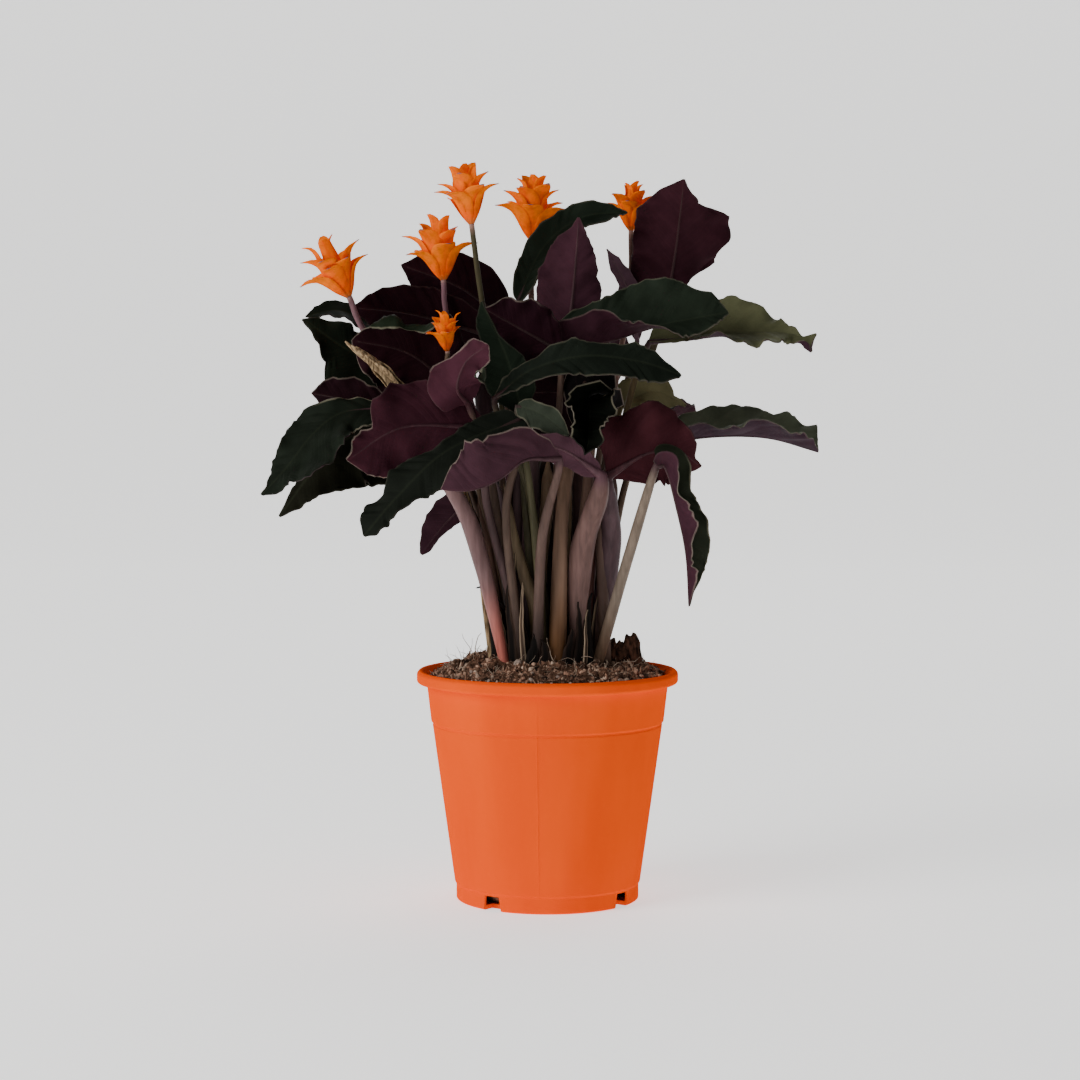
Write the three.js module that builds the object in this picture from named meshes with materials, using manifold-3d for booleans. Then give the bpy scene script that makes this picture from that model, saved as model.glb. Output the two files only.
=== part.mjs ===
// Eternal flame calathea in its nursery pot. Millimetres, +Z up, the origin on
// the floor under the middle of the pot, the front of the plant towards -Y.
import * as THREE from 'three';
import { mergeVertices } from 'three/addons/utils/BufferGeometryUtils.js';
import Module from 'manifold-3d';

const wasm = await Module();
wasm.setup();

// ---- driving dimensions -------------------------------------------------
const FIT = 0.3;              // clearance between neighbouring pieces
const POT_HEIGHT = 125;
const RIM_RADIUS = 71;
const RIM_HEIGHT = 6.8;
const WALL_TOP_RADIUS = 65.6;
const WALL_FOOT_RADIUS = 50.5;
const FOOT_RADIUS = 49.7;
const FOOT_HEIGHT = 9.3;
const WALL = 1.6;
const FLOOR = 2.4;
const RING_Z = 96.5;           // moulded step round the wall
const POT_SIDES = 40;
const DRAIN_ANGLES = [-36.6, 53.4, 143.4, 233.4];   // degrees from the front
const DRAIN_WIDTH = 10;
const DRAIN_HEIGHT = 8;
const SOIL_EDGE_Z = 122;
const SOIL_RISE = 12;
const SOIL_SIDES = 30;
const STEM_DEPTH = 12;        // how far petioles and stalks go down into the soil
const BLADE = 0.8;            // leaf blade thickness
const BLADE_STEPS = 9;        // rows of facets along a blade
const HALF_COLUMNS = 3;       // facets from midrib to margin
const STEM_SIDES = 5;
const NECK = 0.62;            // petiole radius at the blade, against that at the foot
const RIB_END = 0.32;         // how far along the blade the rib under the midrib stands out

// ---- leaves -------------------------------------------------------------
// foot:  where the petiole enters the soil, then spine points up to the tip.
// base:  index in the spine of the blade base (the foot is 0).
// face:  direction the green upper side looks at the base and at the tip.
// half:  half widths left and right of the midrib.
// fold:  degrees each half rises from flat: left base, left tip, right base, right tip.
// curl:  extra degrees each half bends up towards its margin, same order.
// wave:  margin ruffle: height in mm, number of waves, phase in radians.
// shape: how fast each half widens from the base and narrows to the tip, left then right.
// lobes: in-plane scallops of the margin: depth in mm, number.
// fine:  facets from midrib to margin on a small leaf.
// stem:  petiole radius at the foot.
// What an entry leaves out is as in PLAIN_LEAF.
const PLAIN_LEAF = {
  fold: [10, 10, 10, 10], curl: [0, 0, 0, 0], shape: [0.55, 0.7, 0.55, 0.7], lobes: [0, 1],
};
const LEAVES = [
  { name: 'leaf_top_right', foot: [17, 16], base: 2,
    spine: [[34, 34, 225], [66, 40, 322], [71, 36, 354], [75, 26, 392]],
    face: [[0.15, 1, 0.1], [0.15, 1, 0.2]], half: [29, 26], fold: [20, 25, 8, 8],
    curl: [10, 20, 0, 0], shape: [1, 0.45, 0.6, 0.6], lobes: [2.6, 3], wave: [3.5, 3, 0.5],
    stem: 2.9 },
  { name: 'leaf_back_right_bud', foot: [12, 23], base: 2,
    spine: [[28, 37, 225], [50, 40, 304], [44, 38, 330], [31, 36, 354]],
    face: [[0.3, 1, 0.1], [0.3, 1, 0.1]], half: [7, 8], fold: [25, 25, 25, 25],
    curl: [20, 20, 20, 20], wave: [0.6, 3, 0], stem: 2.5, fine: 2 },
  { name: 'leaf_right_arch', foot: [-3, 2], base: 2,
    spine: [[-12, 3, 220], [-18, 2, 295], [28, -6, 302], [60, -8, 311], [97, -6, 318]],
    face: [[0, 0, 1], [0, -0.5, 1]], half: [26, 27], fold: [50, 20, 85, -15], lobes: [1.5, 3],
    wave: [2.5, 3, 0], stem: 3.1 },
  { name: 'leaf_right_long', foot: [24, 7], base: 2,
    spine: [[35, 12, 225], [56, 24, 303], [84, 22, 306], [111, 18, 308], [143, 12, 300]],
    face: [[0, -0.4, 1], [0.1, -0.7, 0.8]], half: [27, 20], fold: [20, 20, 20, 10],
    shape: [0.55, 1, 0.6, 1.1], lobes: [1.5, 3], wave: [3, 3, 1], stem: 2.9 },
  { name: 'leaf_right_low', foot: [30, 1], base: 2,
    spine: [[36, 4, 195], [51, 12, 244], [83, 10, 251], [118, 8, 251], [147, 4, 243]],
    face: [[0, -0.25, 1], [0, -0.25, 1]], half: [25, 25], fold: [30, 30, 32, 32],
    shape: [0.55, 0.35, 0.55, 0.35], lobes: [1.5, 3], wave: [3, 3, 0], stem: 2.9 },
  { name: 'leaf_right_drooping', foot: [27, -18], base: 2,
    spine: [[44, -30, 192], [57, -47, 237], [62, -48, 236], [68, -46, 214],
      [73, -40, 190], [75, -31, 162]], face: [[0.3, -0.3, 1], [1, -0.1, 0.1]], half: [20, 13],
    fold: [60, 60, 35, 35], shape: [0.45, 0.7, 0.45, 0.7], lobes: [1.5, 3], wave: [3, 3, 2],
    stem: 3.7 },
  { name: 'leaf_right_pale', foot: [25, 15], base: 2,
    spine: [[33, 24, 220], [41, 26, 268], [58, 26, 276], [76, 24, 268]],
    face: [[0.2, -0.8, 0.6], [0.4, -0.8, 0.4]], half: [14, 14], fold: [15, 15, 15, 15],
    wave: [1.2, 3, 0], stem: 2.5, fine: 2 },
  { name: 'leaf_front_brown', foot: [26, -8], base: 2,
    spine: [[34, -17, 195], [32, -30, 231], [52, -38, 243], [69, -37, 244], [81, -32, 236]],
    face: [[0, 1, 0.2], [0, 1, 0.3]], half: [15, 27], curl: [0, 0, 30, 30],
    shape: [0.5, 0.8, 0.5, 0.5], lobes: [1.6, 3], wave: [2.5, 3, 1], stem: 4.6 },
  { name: 'leaf_front_cup', foot: [5, -29], base: 2,
    spine: [[8, -30, 215], [16, -20, 256], [20, -17, 281], [22, -34, 264], [21, -51, 250], [19, -62, 243]],
    face: [[0, 1, 0.3], [0, -0.8, 0.6]], half: [19, 17], fold: [40, 40, 40, 40],
    curl: [10, 10, 10, 10], lobes: [1.5, 3], wave: [2.5, 3, 0], stem: 5.2 },
  { name: 'leaf_front_mauve', foot: [-5.5, -30], base: 2,
    spine: [[-3, -42, 198], [6, -58, 241], [-25, -72, 227], [-40, -74, 224], [-56, -72, 231]],
    face: [[0, 0, 1], [0, 0, 1]], half: [37, 16], fold: [75, 75, 50, 50], curl: [0, 0, 10, 10],
    shape: [0.5, 0.45, 0.5, 0.7], lobes: [2, 3], wave: [2.5, 3, 0], stem: 3.4 },
  { name: 'leaf_front_centre', foot: [15, -23], base: 2,
    spine: [[18, -30, 190], [28, -43, 232], [6, -50, 246], [-20, -53, 248]],
    face: [[0, 1, 0.2], [0, 1, 0.2]], half: [8, 9], wave: [0.8, 3, 0], stem: 5, fine: 2 },
  { name: 'leaf_front_young', foot: [-1, -22], base: 2,
    spine: [[-9, -36, 222], [-16, -40, 268], [-4, -44, 264], [11, -44, 253]],
    face: [[0, -1, 0.5], [0, -1, 0.4]], half: [10, 10], wave: [0.8, 3, 0], stem: 2.5, fine: 2 },
  { name: 'leaf_front_left_dark', foot: [-13, -26], base: 2,
    spine: [[-22, -37, 212], [-25, -44, 256], [-52, -52, 245], [-77, -59, 222], [-95, -63, 201]],
    face: [[-0.2, -0.8, 0.6], [-0.5, -0.8, 0.3]], half: [18, 19], shape: [0.5, 0.35, 0.5, 0.85],
    lobes: [1, 3], wave: [2, 3, 0.6], stem: 2.9 },
  { name: 'leaf_low_left_tip', foot: [-28, 8], base: 2,
    spine: [[-34, 12, 190], [-42, 15, 217], [-56, 15, 204], [-69, 12, 187]],
    face: [[-0.3, 1, 0.3], [-0.3, 1, 0.3]], half: [11, 11], wave: [0.5, 3, 0], stem: 2.7, fine: 2 },
  { name: 'leaf_left_large', foot: [-23, -23], base: 3,
    spine: [[-35, -25, 184], [-48, -24, 219], [-82, -17, 268], [-113, -25, 267],
      [-136, -32, 246], [-149, -38, 222]], face: [[-0.3, -0.7, 0.7], [-0.6, -0.7, 0.4]],
    half: [27.2, 22], fold: [12, 12, 12, 12], lobes: [1.5, 3], wave: [3, 3, 0], stem: 5.6 },
  { name: 'leaf_left_olive', foot: [-23, -12], base: 2,
    spine: [[-41, -10, 205], [-80, -6, 240], [-112, -9, 231], [-144, -14, 207]],
    face: [[0, -0.5, 1], [-0.4, -0.6, 0.8]], half: [18, 36], fold: [15, 10, 0, 0],
    shape: [0.5, 0.7, 0.5, 0.9], wave: [2, 3, 0], stem: 2.7, fine: 2 },
  { name: 'leaf_left_red', foot: [-10, -21], base: 2,
    spine: [[-32, -29, 215], [-47, -36, 263], [-76, -42, 257], [-105, -46.5, 240]],
    face: [[-0.1, 1, 0.25], [-0.2, 1, 0.4]], half: [24, 28], shape: [0.5, 0.6, 0.4, 0.95],
    lobes: [2.4, 3], wave: [3, 3, 0], stem: 2.9 },
  { name: 'leaf_centre_mauve', foot: [-17, -16], base: 3,
    spine: [[-30, -24, 228], [-36, -33, 268], [-50, -50, 275], [-44, -55, 290], [-26, -59, 303]],
    face: [[0, 1, 0.1], [-0.3, 1, 0]], half: [17, 19], fold: [15, 15, 15, 15], lobes: [2, 3],
    wave: [2.5, 3, 0], stem: 2.7 },
  { name: 'leaf_left_upper', foot: [-12, -1], base: 2,
    spine: [[-32, -8, 225], [-48, -9, 276], [-74, -15, 296], [-104, -23, 303]],
    face: [[0, 1, 0.3], [-0.2, 1, 0.3]], half: [28, 29], lobes: [2, 3], wave: [3, 3, 0],
    stem: 2.9 },
  { name: 'leaf_left_band', foot: [-11, 9], base: 2,
    spine: [[-20, 23, 240], [-30, 28, 306], [-72, 26, 318], [-107, 20, 322]],
    face: [[0, 1, 0.4], [0, 1, 0.4]], half: [17, 17], wave: [1, 3, 0], stem: 2.7, fine: 2 },
  { name: 'leaf_left_point', foot: [-18, 4], base: 2,
    spine: [[-43, 10, 225], [-86, 16, 288], [-110, 13, 299], [-133, 8, 315]],
    face: [[-0.2, -0.8, 0.5], [-0.2, -0.8, 0.6]], half: [26, 14], shape: [0.4, 1, 0.5, 0.7],
    lobes: [1.2, 3], wave: [2.5, 3, 0], stem: 2.7, fine: 2 },
  { name: 'leaf_left_sliver', foot: [-22, 13], base: 2,
    spine: [[-42, 26, 235], [-90, 34, 308], [-114, 32, 320], [-133, 26, 317]],
    face: [[0, -0.6, 1], [0, -0.6, 1]], half: [10, 10], wave: [1, 3, 0], stem: 2.5, fine: 2 },
  { name: 'leaf_left_small', foot: [-26, -5], base: 2,
    spine: [[-38, -4, 205], [-93, -6, 265], [-110, -6, 272], [-127, -7, 275]],
    face: [[0, 0.8, 0.6], [0, 0.8, 0.6]], half: [10, 10], wave: [1, 3, 0], stem: 2.5, fine: 2 },
  { name: 'leaf_back_round', foot: [-4, 19], base: 2,
    spine: [[-14, 36, 240], [-24, 42, 316], [-49, 43, 334], [-81, 38, 346]],
    face: [[0, 1, 0.3], [0, 1, 0.3]], half: [19, 19], wave: [0.8, 3, 0], stem: 2.7, fine: 2 },
  { name: 'leaf_top_arch', foot: [4, 15], base: 2,
    spine: [[-4, 30, 240], [-16, 36, 326], [-3, 36, 354], [18, 32, 371], [44, 28, 374]],
    face: [[-0.8, -0.8, 0.1], [0, -0.8, 0.8]], half: [11, 11], fold: [20, 20, 20, 20],
    shape: [0.4, 0.5, 0.4, 0.5], wave: [1, 3, 0], stem: 2.7, fine: 2 },
  { name: 'leaf_top_mauve', foot: [5, 6], base: 2,
    spine: [[8, 14, 240], [12, 15, 310], [15, 15, 342], [17, 10, 370]],
    face: [[0, 1, 0.1], [0, 1, 0.1]], half: [19, 22], fold: [15, 15, 15, 15],
    curl: [10, 10, 10, 10], shape: [0.4, 0.8, 0.4, 0.8], lobes: [1, 3], wave: [2, 3, 0],
    stem: 2.7 },
  { name: 'leaf_centre_dark', foot: [5, -4], base: 2,
    spine: [[5, -8, 240], [6, -14, 298], [-14, -16, 309], [-34, -18, 320]],
    face: [[0, 0.8, 0.3], [0, 0.8, 0.3]], half: [18, 20], lobes: [1, 4], wave: [1, 4, 0], stem: 2.5,
    fine: 2 },
  { name: 'leaf_centre_green', foot: [-5, -9], base: 2,
    spine: [[-12, -20, 220], [-13, -25, 262], [-22, -27, 294], [-35, -28, 323]],
    face: [[0, -1, 0.2], [0, -1, 0.2]], half: [18, 18], wave: [1, 3, 0], stem: 2.7, fine: 2 },
  { name: 'leaf_centre_long', foot: [2, -12], base: 2,
    spine: [[-10, -24, 222], [-28, -38, 272], [-8, -44, 287], [20, -47, 294],
      [48, -45, 291], [70, -40, 284]], face: [[-0.3, -0.8, 0.6], [0.3, -0.8, 0.5]],
    half: [10, 14], shape: [0.6, 0.5, 0.8, 0.5], lobes: [1.2, 3], wave: [2, 3, 0], stem: 2.9 },
  { name: 'leaf_centre_purple', foot: [15, -6], base: 2,
    spine: [[25, 6, 220], [29, 10, 262], [8, 2, 275], [-12, -4, 276]],
    face: [[0, 1, 0.2], [0, 1, 0.2]], half: [15, 15], wave: [0.8, 3, 0], stem: 2.7, fine: 2 },
  { name: 'leaf_back_left', foot: [-13, 26], base: 2,
    spine: [[-26, 44, 230], [-38, 54, 290], [-56, 82, 292], [-76, 108, 268]],
    face: [[-0.2, 0.4, 1], [-0.3, 1, 0.5]], half: [26, 26], fold: [15, 15, 15, 15],
    wave: [1.5, 4, 0], stem: 2.9, fine: 2 },
  { name: 'leaf_back_middle', foot: [7, 34], base: 2,
    spine: [[12, 50, 228], [15, 60, 294], [21, 90, 296], [26, 122, 264]],
    face: [[0, 0.4, 1], [0, 1, 0.5]], half: [28, 28], fold: [15, 15, 15, 15], wave: [1.5, 4, 1],
    stem: 2.9, fine: 2 },
  { name: 'leaf_back_right', foot: [26, 24], base: 2,
    spine: [[33, 44, 215], [44, 56, 256], [62, 80, 259], [80, 104, 246]],
    face: [[0.2, 0.4, 1], [0.3, 1, 0.6]], half: [25, 25], fold: [15, 15, 15, 15],
    wave: [1.5, 4, 2], stem: 2.9, fine: 2 },
  { name: 'leaf_back_low_left', foot: [-21, 20], base: 2,
    spine: [[-32, 32, 200], [-48, 46, 240], [-74, 66, 248], [-100, 86, 236]],
    face: [[-0.2, 0.3, 1], [-0.4, 0.8, 0.6]], half: [24, 24], fold: [15, 15, 15, 15],
    wave: [1.5, 4, 1], stem: 2.7, fine: 2 },
  { name: 'leaf_back_low', foot: [-6, 31], base: 2,
    spine: [[-10, 44, 195], [-14, 56, 236], [-18, 84, 238], [-22, 114, 214]],
    face: [[0, 0.3, 1], [0, 1, 0.5]], half: [26, 26], fold: [15, 15, 15, 15], wave: [1.5, 4, 2],
    stem: 2.7, fine: 2 },
];

// ---- flower heads -------------------------------------------------------
// foot and stalk: where the stalk enters the soil and the points up to the head.
// tall, wide: height of the head and reach of its bract tips from the axis.
// turn: degrees the ring of bracts is turned round the axis.
const BLOOMS = [
  { name: 'left', foot: [-30, 0], stalk: [[-46, 3, 225], [-96, 1, 303], [-107, -2, 327]],
    tall: 35, wide: 17, turn: 10, stem: 1.9 },
  { name: 'mid_left', foot: [-11, 17], stalk: [[-34, 26, 240], [-54, 21, 312], [-57, 20, 337]],
    tall: 36, wide: 17, turn: 60, stem: 1.7 },
  { name: 'high', foot: [-5, 8], stalk: [[-22, 10, 250], [-35, 4, 322], [-41, 1, 366]],
    tall: 34, wide: 16, turn: 0, stem: 1.7 },
  { name: 'top', foot: [2, 25], stalk: [[-5, 43, 250], [-9, 50, 330], [-8, 51, 360]],
    tall: 38, wide: 18, turn: 30, stem: 1.9 },
  { name: 'top_side', foot: [0, 31], stalk: [[-2, 56, 250], [0, 67, 330], [5, 70, 352]],
    tall: 27, wide: 9, turn: 80, stem: 1.5 },
  { name: 'back_right', foot: [19, 30], stalk: [[34, 54, 250], [46, 55, 330], [47, 55, 366]],
    tall: 28, wide: 14, turn: 45, stem: 1.7 },
  { name: 'low', foot: [-16, -9], stalk: [[-39, -15, 232], [-52, -27, 284], [-53, -29, 297]],
    tall: 22, wide: 10, turn: 20, stem: 1.5 },
];

// A spent head: its stalk's foot, the points up to the sheath, and the stalk's radius.
const DRIED = { foot: [-30, -14], stalk: [[-44, -17, 222], [-74, -33, 274]], stem: 1.4 };
// A flake of bark in the soil: where it stands and its turn about z in degrees.
const BARK = { x: 41, y: -8, turn: 12 };

// ---- small vector helpers -----------------------------------------------
const SIDE = new THREE.Vector3(1, 0, 0);   // the way a stalk's first facet looks
const vec = (list) => new THREE.Vector3(list[0], list[1], list[2]);
const rad = (degrees) => degrees * Math.PI / 180;
const mix = (a, b, t) => a + (b - a) * t;
const smooth = (t) => t * t * (3 - 2 * t);

function along(points, t) {
  // Uniform Catmull-Rom curve through the points, t from 0 to 1.
  const last = points.length - 1;
  const s = Math.min(Math.max(t * last, 0), last - 1e-9);
  const i = Math.floor(s);
  const f = s - i;
  const p1 = points[i];
  const p2 = points[i + 1];
  const p0 = i > 0 ? points[i - 1] : p1.clone().multiplyScalar(2).sub(p2);
  const p3 = i + 2 <= last ? points[i + 2] : p2.clone().multiplyScalar(2).sub(p1);
  const out = new THREE.Vector3();
  for (const axis of ['x', 'y', 'z']) {
    const [a, b, c, d] = [p0[axis], p1[axis], p2[axis], p3[axis]];
    out[axis] = 0.5 * (2 * b + (c - a) * f + (2 * a - 5 * b + 4 * c - d) * f * f
      + (3 * b - a - 3 * c + d) * f * f * f);
  }
  return out;
}

function direction(points, t) {
  return along(points, Math.min(t + 1e-3, 1)).sub(along(points, Math.max(t - 1e-3, 0))).normalize();
}

function solid(vertices, faces) {
  // A closed body from a list of vectors and a list of vertex index triples.
  const vertProperties = new Float32Array(vertices.flatMap((p) => [p.x, p.y, p.z]));
  const triVerts = new Uint32Array(faces.flat());
  return new wasm.Manifold(new wasm.Mesh({ numProp: 3, vertProperties, triVerts }));
}

function largest(body) {
  // Fusing can leave loose scraps: only the largest connected body stays.
  const parts = body.decompose();
  return parts.reduce((best, part) => (part.volume() > best.volume() ? part : best));
}

function tube(centres, radii, side, sides = STEM_SIDES) {
  // A closed tapering tube through the centres; side keeps its facets from twisting.
  const vertices = [];
  const faces = [];
  const count = centres.length;
  for (let i = 0; i < count; i += 1) {
    const before = centres[Math.max(i - 1, 0)];
    const after = centres[Math.min(i + 1, count - 1)];
    const tangent = after.clone().sub(before).normalize();
    const u = side.clone().addScaledVector(tangent, -side.dot(tangent)).normalize();
    const v = tangent.clone().cross(u);
    for (let k = 0; k < sides; k += 1) {
      const angle = 2 * Math.PI * k / sides;
      vertices.push(centres[i].clone()
        .addScaledVector(u, radii[i] * Math.cos(angle))
        .addScaledVector(v, radii[i] * Math.sin(angle)));
    }
  }
  for (let i = 0; i + 1 < count; i += 1) {
    for (let k = 0; k < sides; k += 1) {
      const a = i * sides + k;
      const b = i * sides + (k + 1) % sides;
      faces.push([a, b, b + sides], [a, b + sides, a + sides]);
    }
  }
  for (let k = 1; k + 1 < sides; k += 1) {
    faces.push([0, k + 1, k]);
    const end = (count - 1) * sides;
    faces.push([end, end + k, end + k + 1]);
  }
  return solid(vertices, faces);
}

// ---- leaf ---------------------------------------------------------------
function soilTop(x, y) {
  // Height of the mounded soil, before its crumbs.
  const r = Math.hypot(x, y);
  return SOIL_EDGE_Z + SOIL_RISE * (1 - (r / 64) ** 2);
}

function bladePoint(leaf, t, across) {
  // Point of the blade's middle surface: t runs along it, across from -1 to 1.
  const centre = along(leaf.midrib, t);
  const tangent = direction(leaf.midrib, t);
  const s = smooth(t);
  const normal = vec(leaf.face[0]).normalize().multiplyScalar(1 - s)
    .addScaledVector(vec(leaf.face[1]).normalize(), s);
  normal.addScaledVector(tangent, -normal.dot(tangent)).normalize();
  const sideways = tangent.clone().cross(normal);
  const right = across > 0 ? 1 : 0;
  const reach = Math.abs(across);
  const fold = rad(mix(leaf.fold[2 * right], leaf.fold[2 * right + 1], s));
  let curl = rad(mix(leaf.curl[2 * right], leaf.curl[2 * right + 1], s));
  if (Math.abs(curl) < 0.001) curl = 0.001;
  const [a, b] = leaf.shape.slice(2 * right, 2 * right + 2);
  const peak = (a / (a + b)) ** a * (b / (a + b)) ** b;
  const [depth, lobes] = leaf.lobes;
  const outline = t ** a * (1 - t) ** b / peak;
  const notch = depth * Math.sin(Math.PI * t) * Math.sin(2 * Math.PI * lobes * t + 2.4 * right);
  const width = Math.max(leaf.half[right] * outline + notch, 1.2);
  const angle = fold + curl * reach;
  const out = width * (Math.sin(angle) - Math.sin(fold)) / curl;
  const up = width * (Math.cos(fold) - Math.cos(angle)) / curl;
  const point = centre.addScaledVector(sideways, out * (right ? 1 : -1)).addScaledVector(normal, up);
  const [height, count, phase] = leaf.wave;
  const ruffle = height * reach * reach * Math.sin(Math.PI * Math.min(Math.max(t, 0), 1)) ** 0.6
    * Math.sin(2 * Math.PI * count * t + phase + 1.9 * right);
  const outward = sideways.clone().multiplyScalar(-Math.sin(angle) * (right ? 1 : -1))
    .addScaledVector(normal, Math.cos(angle));
  return point.addScaledVector(outward, ruffle);
}

function bladeBody(leaf) {
  const rows = leaf.fine ? BLADE_STEPS - 3 : BLADE_STEPS;
  const half = leaf.fine ?? HALF_COLUMNS;
  const columns = 2 * half;
  const grid = [];
  for (let i = 0; i < rows; i += 1) {
    const even = i / rows;
    const t = 0.4 * even + 0.6 * (0.5 - 0.5 * Math.cos(Math.PI * even));
    const row = [];
    for (let j = 0; j <= columns; j += 1) {
      row.push(bladePoint(leaf, t, j / half - 1));
    }
    grid.push(row);
  }
  const tip = along(leaf.midrib, 1);
  grid.push(Array.from({ length: columns + 1 }, () => tip));
  const normals = grid.map((row, i) => row.map((_, j) => {
    const below = grid[Math.max(i - 1, 0)][j];
    const above = grid[Math.min(i + 1, rows)][j];
    const left = (i === rows ? grid[i - 1] : row)[Math.max(j - 1, 0)];
    const right = (i === rows ? grid[i - 1] : row)[Math.min(j + 1, columns)];
    return right.clone().sub(left).cross(above.clone().sub(below)).normalize();
  }));
  const vertices = [];
  const layer = (sign) => {
    const start = vertices.length;
    for (let i = 0; i < rows; i += 1) {
      for (let j = 0; j <= columns; j += 1) {
        vertices.push(grid[i][j].clone().addScaledVector(normals[i][j], sign * BLADE / 2));
      }
    }
    vertices.push(tip.clone().addScaledVector(normals[rows][half], sign * BLADE / 2));
    return start;
  };
  const top = layer(1);
  const bottom = layer(-1);
  const at = (start, i, j) => (i === rows ? start + rows * (columns + 1) : start + i * (columns + 1) + j);
  const faces = [];
  const quad = (a, b, c, d) => {
    // Corners in order; a collapsed side gives one triangle.
    if (a !== b && b !== c && a !== c) faces.push([a, b, c]);
    if (a !== c && c !== d && a !== d) faces.push([a, c, d]);
  };
  for (let i = 0; i < rows; i += 1) {
    for (let j = 0; j < columns; j += 1) {
      quad(at(top, i, j), at(top, i, j + 1), at(top, i + 1, j + 1), at(top, i + 1, j));
      quad(at(bottom, i, j), at(bottom, i + 1, j), at(bottom, i + 1, j + 1), at(bottom, i, j + 1));
    }
    quad(at(top, i, 0), at(top, i + 1, 0), at(bottom, i + 1, 0), at(bottom, i, 0));
    quad(at(bottom, i, columns), at(bottom, i + 1, columns), at(top, i + 1, columns), at(top, i, columns));
  }
  for (let j = 0; j < columns; j += 1) {
    quad(at(top, 0, j + 1), at(top, 0, j), at(bottom, 0, j), at(bottom, 0, j + 1));
  }
  return { vertices, faces };
}

function petiolePath(leaf, margin) {
  // Centres and radii of the petiole, from below the soil to the base of the blade.
  const centres = [];
  const radii = [];
  const steps = 2 * leaf.base;
  const aim = direction(leaf.points, 0);
  centres.push(leaf.points[0].clone().addScaledVector(aim, -STEM_DEPTH - margin));
  radii.push(leaf.stem + margin);
  const last = leaf.points.length - 1;
  for (let i = 0; i <= steps; i += 1) {
    const share = i / steps;
    centres.push(along(leaf.points, share * leaf.base / last));
    radii.push(mix(leaf.stem, leaf.stem * NECK, share) + margin);
  }
  return { centres, radii };
}

function leafBody(leaf) {
  const { centres, radii } = petiolePath(leaf, 0);
  // The petiole runs on as a rib under the midrib.
  for (const t of [0.12, RIB_END]) {
    const radius = mix(leaf.stem * NECK, 0.9, t / RIB_END);
    const normal = vec(leaf.face[0]).normalize();
    const tangent = direction(leaf.midrib, t);
    normal.addScaledVector(tangent, -normal.dot(tangent)).normalize();
    centres.push(along(leaf.midrib, t).addScaledVector(normal, -radius * 0.6));
    radii.push(radius);
  }
  const { vertices, faces } = bladeBody(leaf);
  const blade = solid(vertices, faces);
  const petiole = tube(centres, radii, leaf.side);
  return largest(blade.add(petiole));
}

// ---- flower head --------------------------------------------------------
function rise(path, stem, margin, steps) {
  // Centres and radii of a flower stalk, from below the soil to its upper end.
  const aim = direction(path, 0);
  const centres = [path[0].clone().addScaledVector(aim, -STEM_DEPTH - margin)];
  const radii = [stem + margin];
  for (let i = 0; i <= steps; i += 1) {
    centres.push(along(path, i / steps));
    radii.push(mix(stem, stem * 0.85, i / steps) + margin);
  }
  return { centres, radii };
}

function bloomBody(bloom) {
  // The head: a funnel of three whorls of pointed bracts, built ring by ring.
  // Each whorl has four bracts and each bract has a tip, two shoulders and a gap.
  const path = bloom.points;
  const axis = direction(path, 1);
  const side = axis.clone().cross(new THREE.Vector3(0, 1, 0)).normalize();
  const across = axis.clone().cross(side);
  const origin = path[path.length - 1].clone().addScaledVector(axis, 1.5 * FIT);
  const { tall, wide } = bloom;
  const columns = 16;
  const flat = (r, h) => Array.from({ length: columns }, () => [r, h]);
  // Radii and heights of tip, shoulder and gap; later whorls sit between earlier ones.
  const whorl = (tip, shoulder, gap, shift) => Array.from({ length: columns }, (_, k) => {
    const place = (k + shift) % 4;
    const bractNumber = Math.floor((k + shift) / 4) % 4;
    const stretch = 1 + 0.1 * Math.sin(2.1 * bractNumber + shift + bloom.turn);
    if (place === 0) return [tip[0] * stretch, tip[1]];
    return place === 2 ? gap : [shoulder[0] * stretch, shoulder[1]];
  });
  const rings = [
    flat(0.15, 0),
    flat(0.34, 0.2),
    whorl([0.62, 0.38], [0.56, 0.38], [0.44, 0.34], 0),
    whorl([1.12, 0.45], [0.6, 0.45], [0.44, 0.38], 0),
    whorl([0.5, 0.47], [0.46, 0.48], [0.4, 0.42], 0),
    whorl([0.52, 0.6], [0.46, 0.6], [0.4, 0.55], 2),
    whorl([1.02, 0.7], [0.5, 0.68], [0.36, 0.6], 2),
    whorl([0.4, 0.72], [0.36, 0.72], [0.32, 0.66], 2),
    whorl([0.6, 0.98], [0.36, 0.9], [0.26, 0.78], 1),
    whorl([0.2, 0.9], [0.2, 0.86], [0.18, 0.8], 1),
  ];
  const vertices = [];
  const faces = [];
  rings.forEach((ring) => ring.forEach(([r, h], k) => {
    const angle = rad(bloom.turn) + 2 * Math.PI * k / columns;
    vertices.push(origin.clone().addScaledVector(axis, h * tall)
      .addScaledVector(side, r * wide * Math.cos(angle))
      .addScaledVector(across, r * wide * Math.sin(angle)));
  }));
  const last = columns * (rings.length - 1);
  for (let i = 0; i < last; i += columns) {
    for (let k = 0; k < columns; k += 1) {
      const p = i + k;
      const q = i + (k + 1) % columns;
      faces.push([p, q, q + columns], [p, q + columns, p + columns]);
    }
  }
  vertices.push(origin.clone(), origin.clone().addScaledVector(axis, 0.84 * tall));
  const foot = vertices.length - 2;
  for (let k = 0; k < columns; k += 1) {
    const next = (k + 1) % columns;
    faces.push([foot, next, k], [foot + 1, last + k, last + next]);
  }
  return solid(vertices, faces);
}

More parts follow.
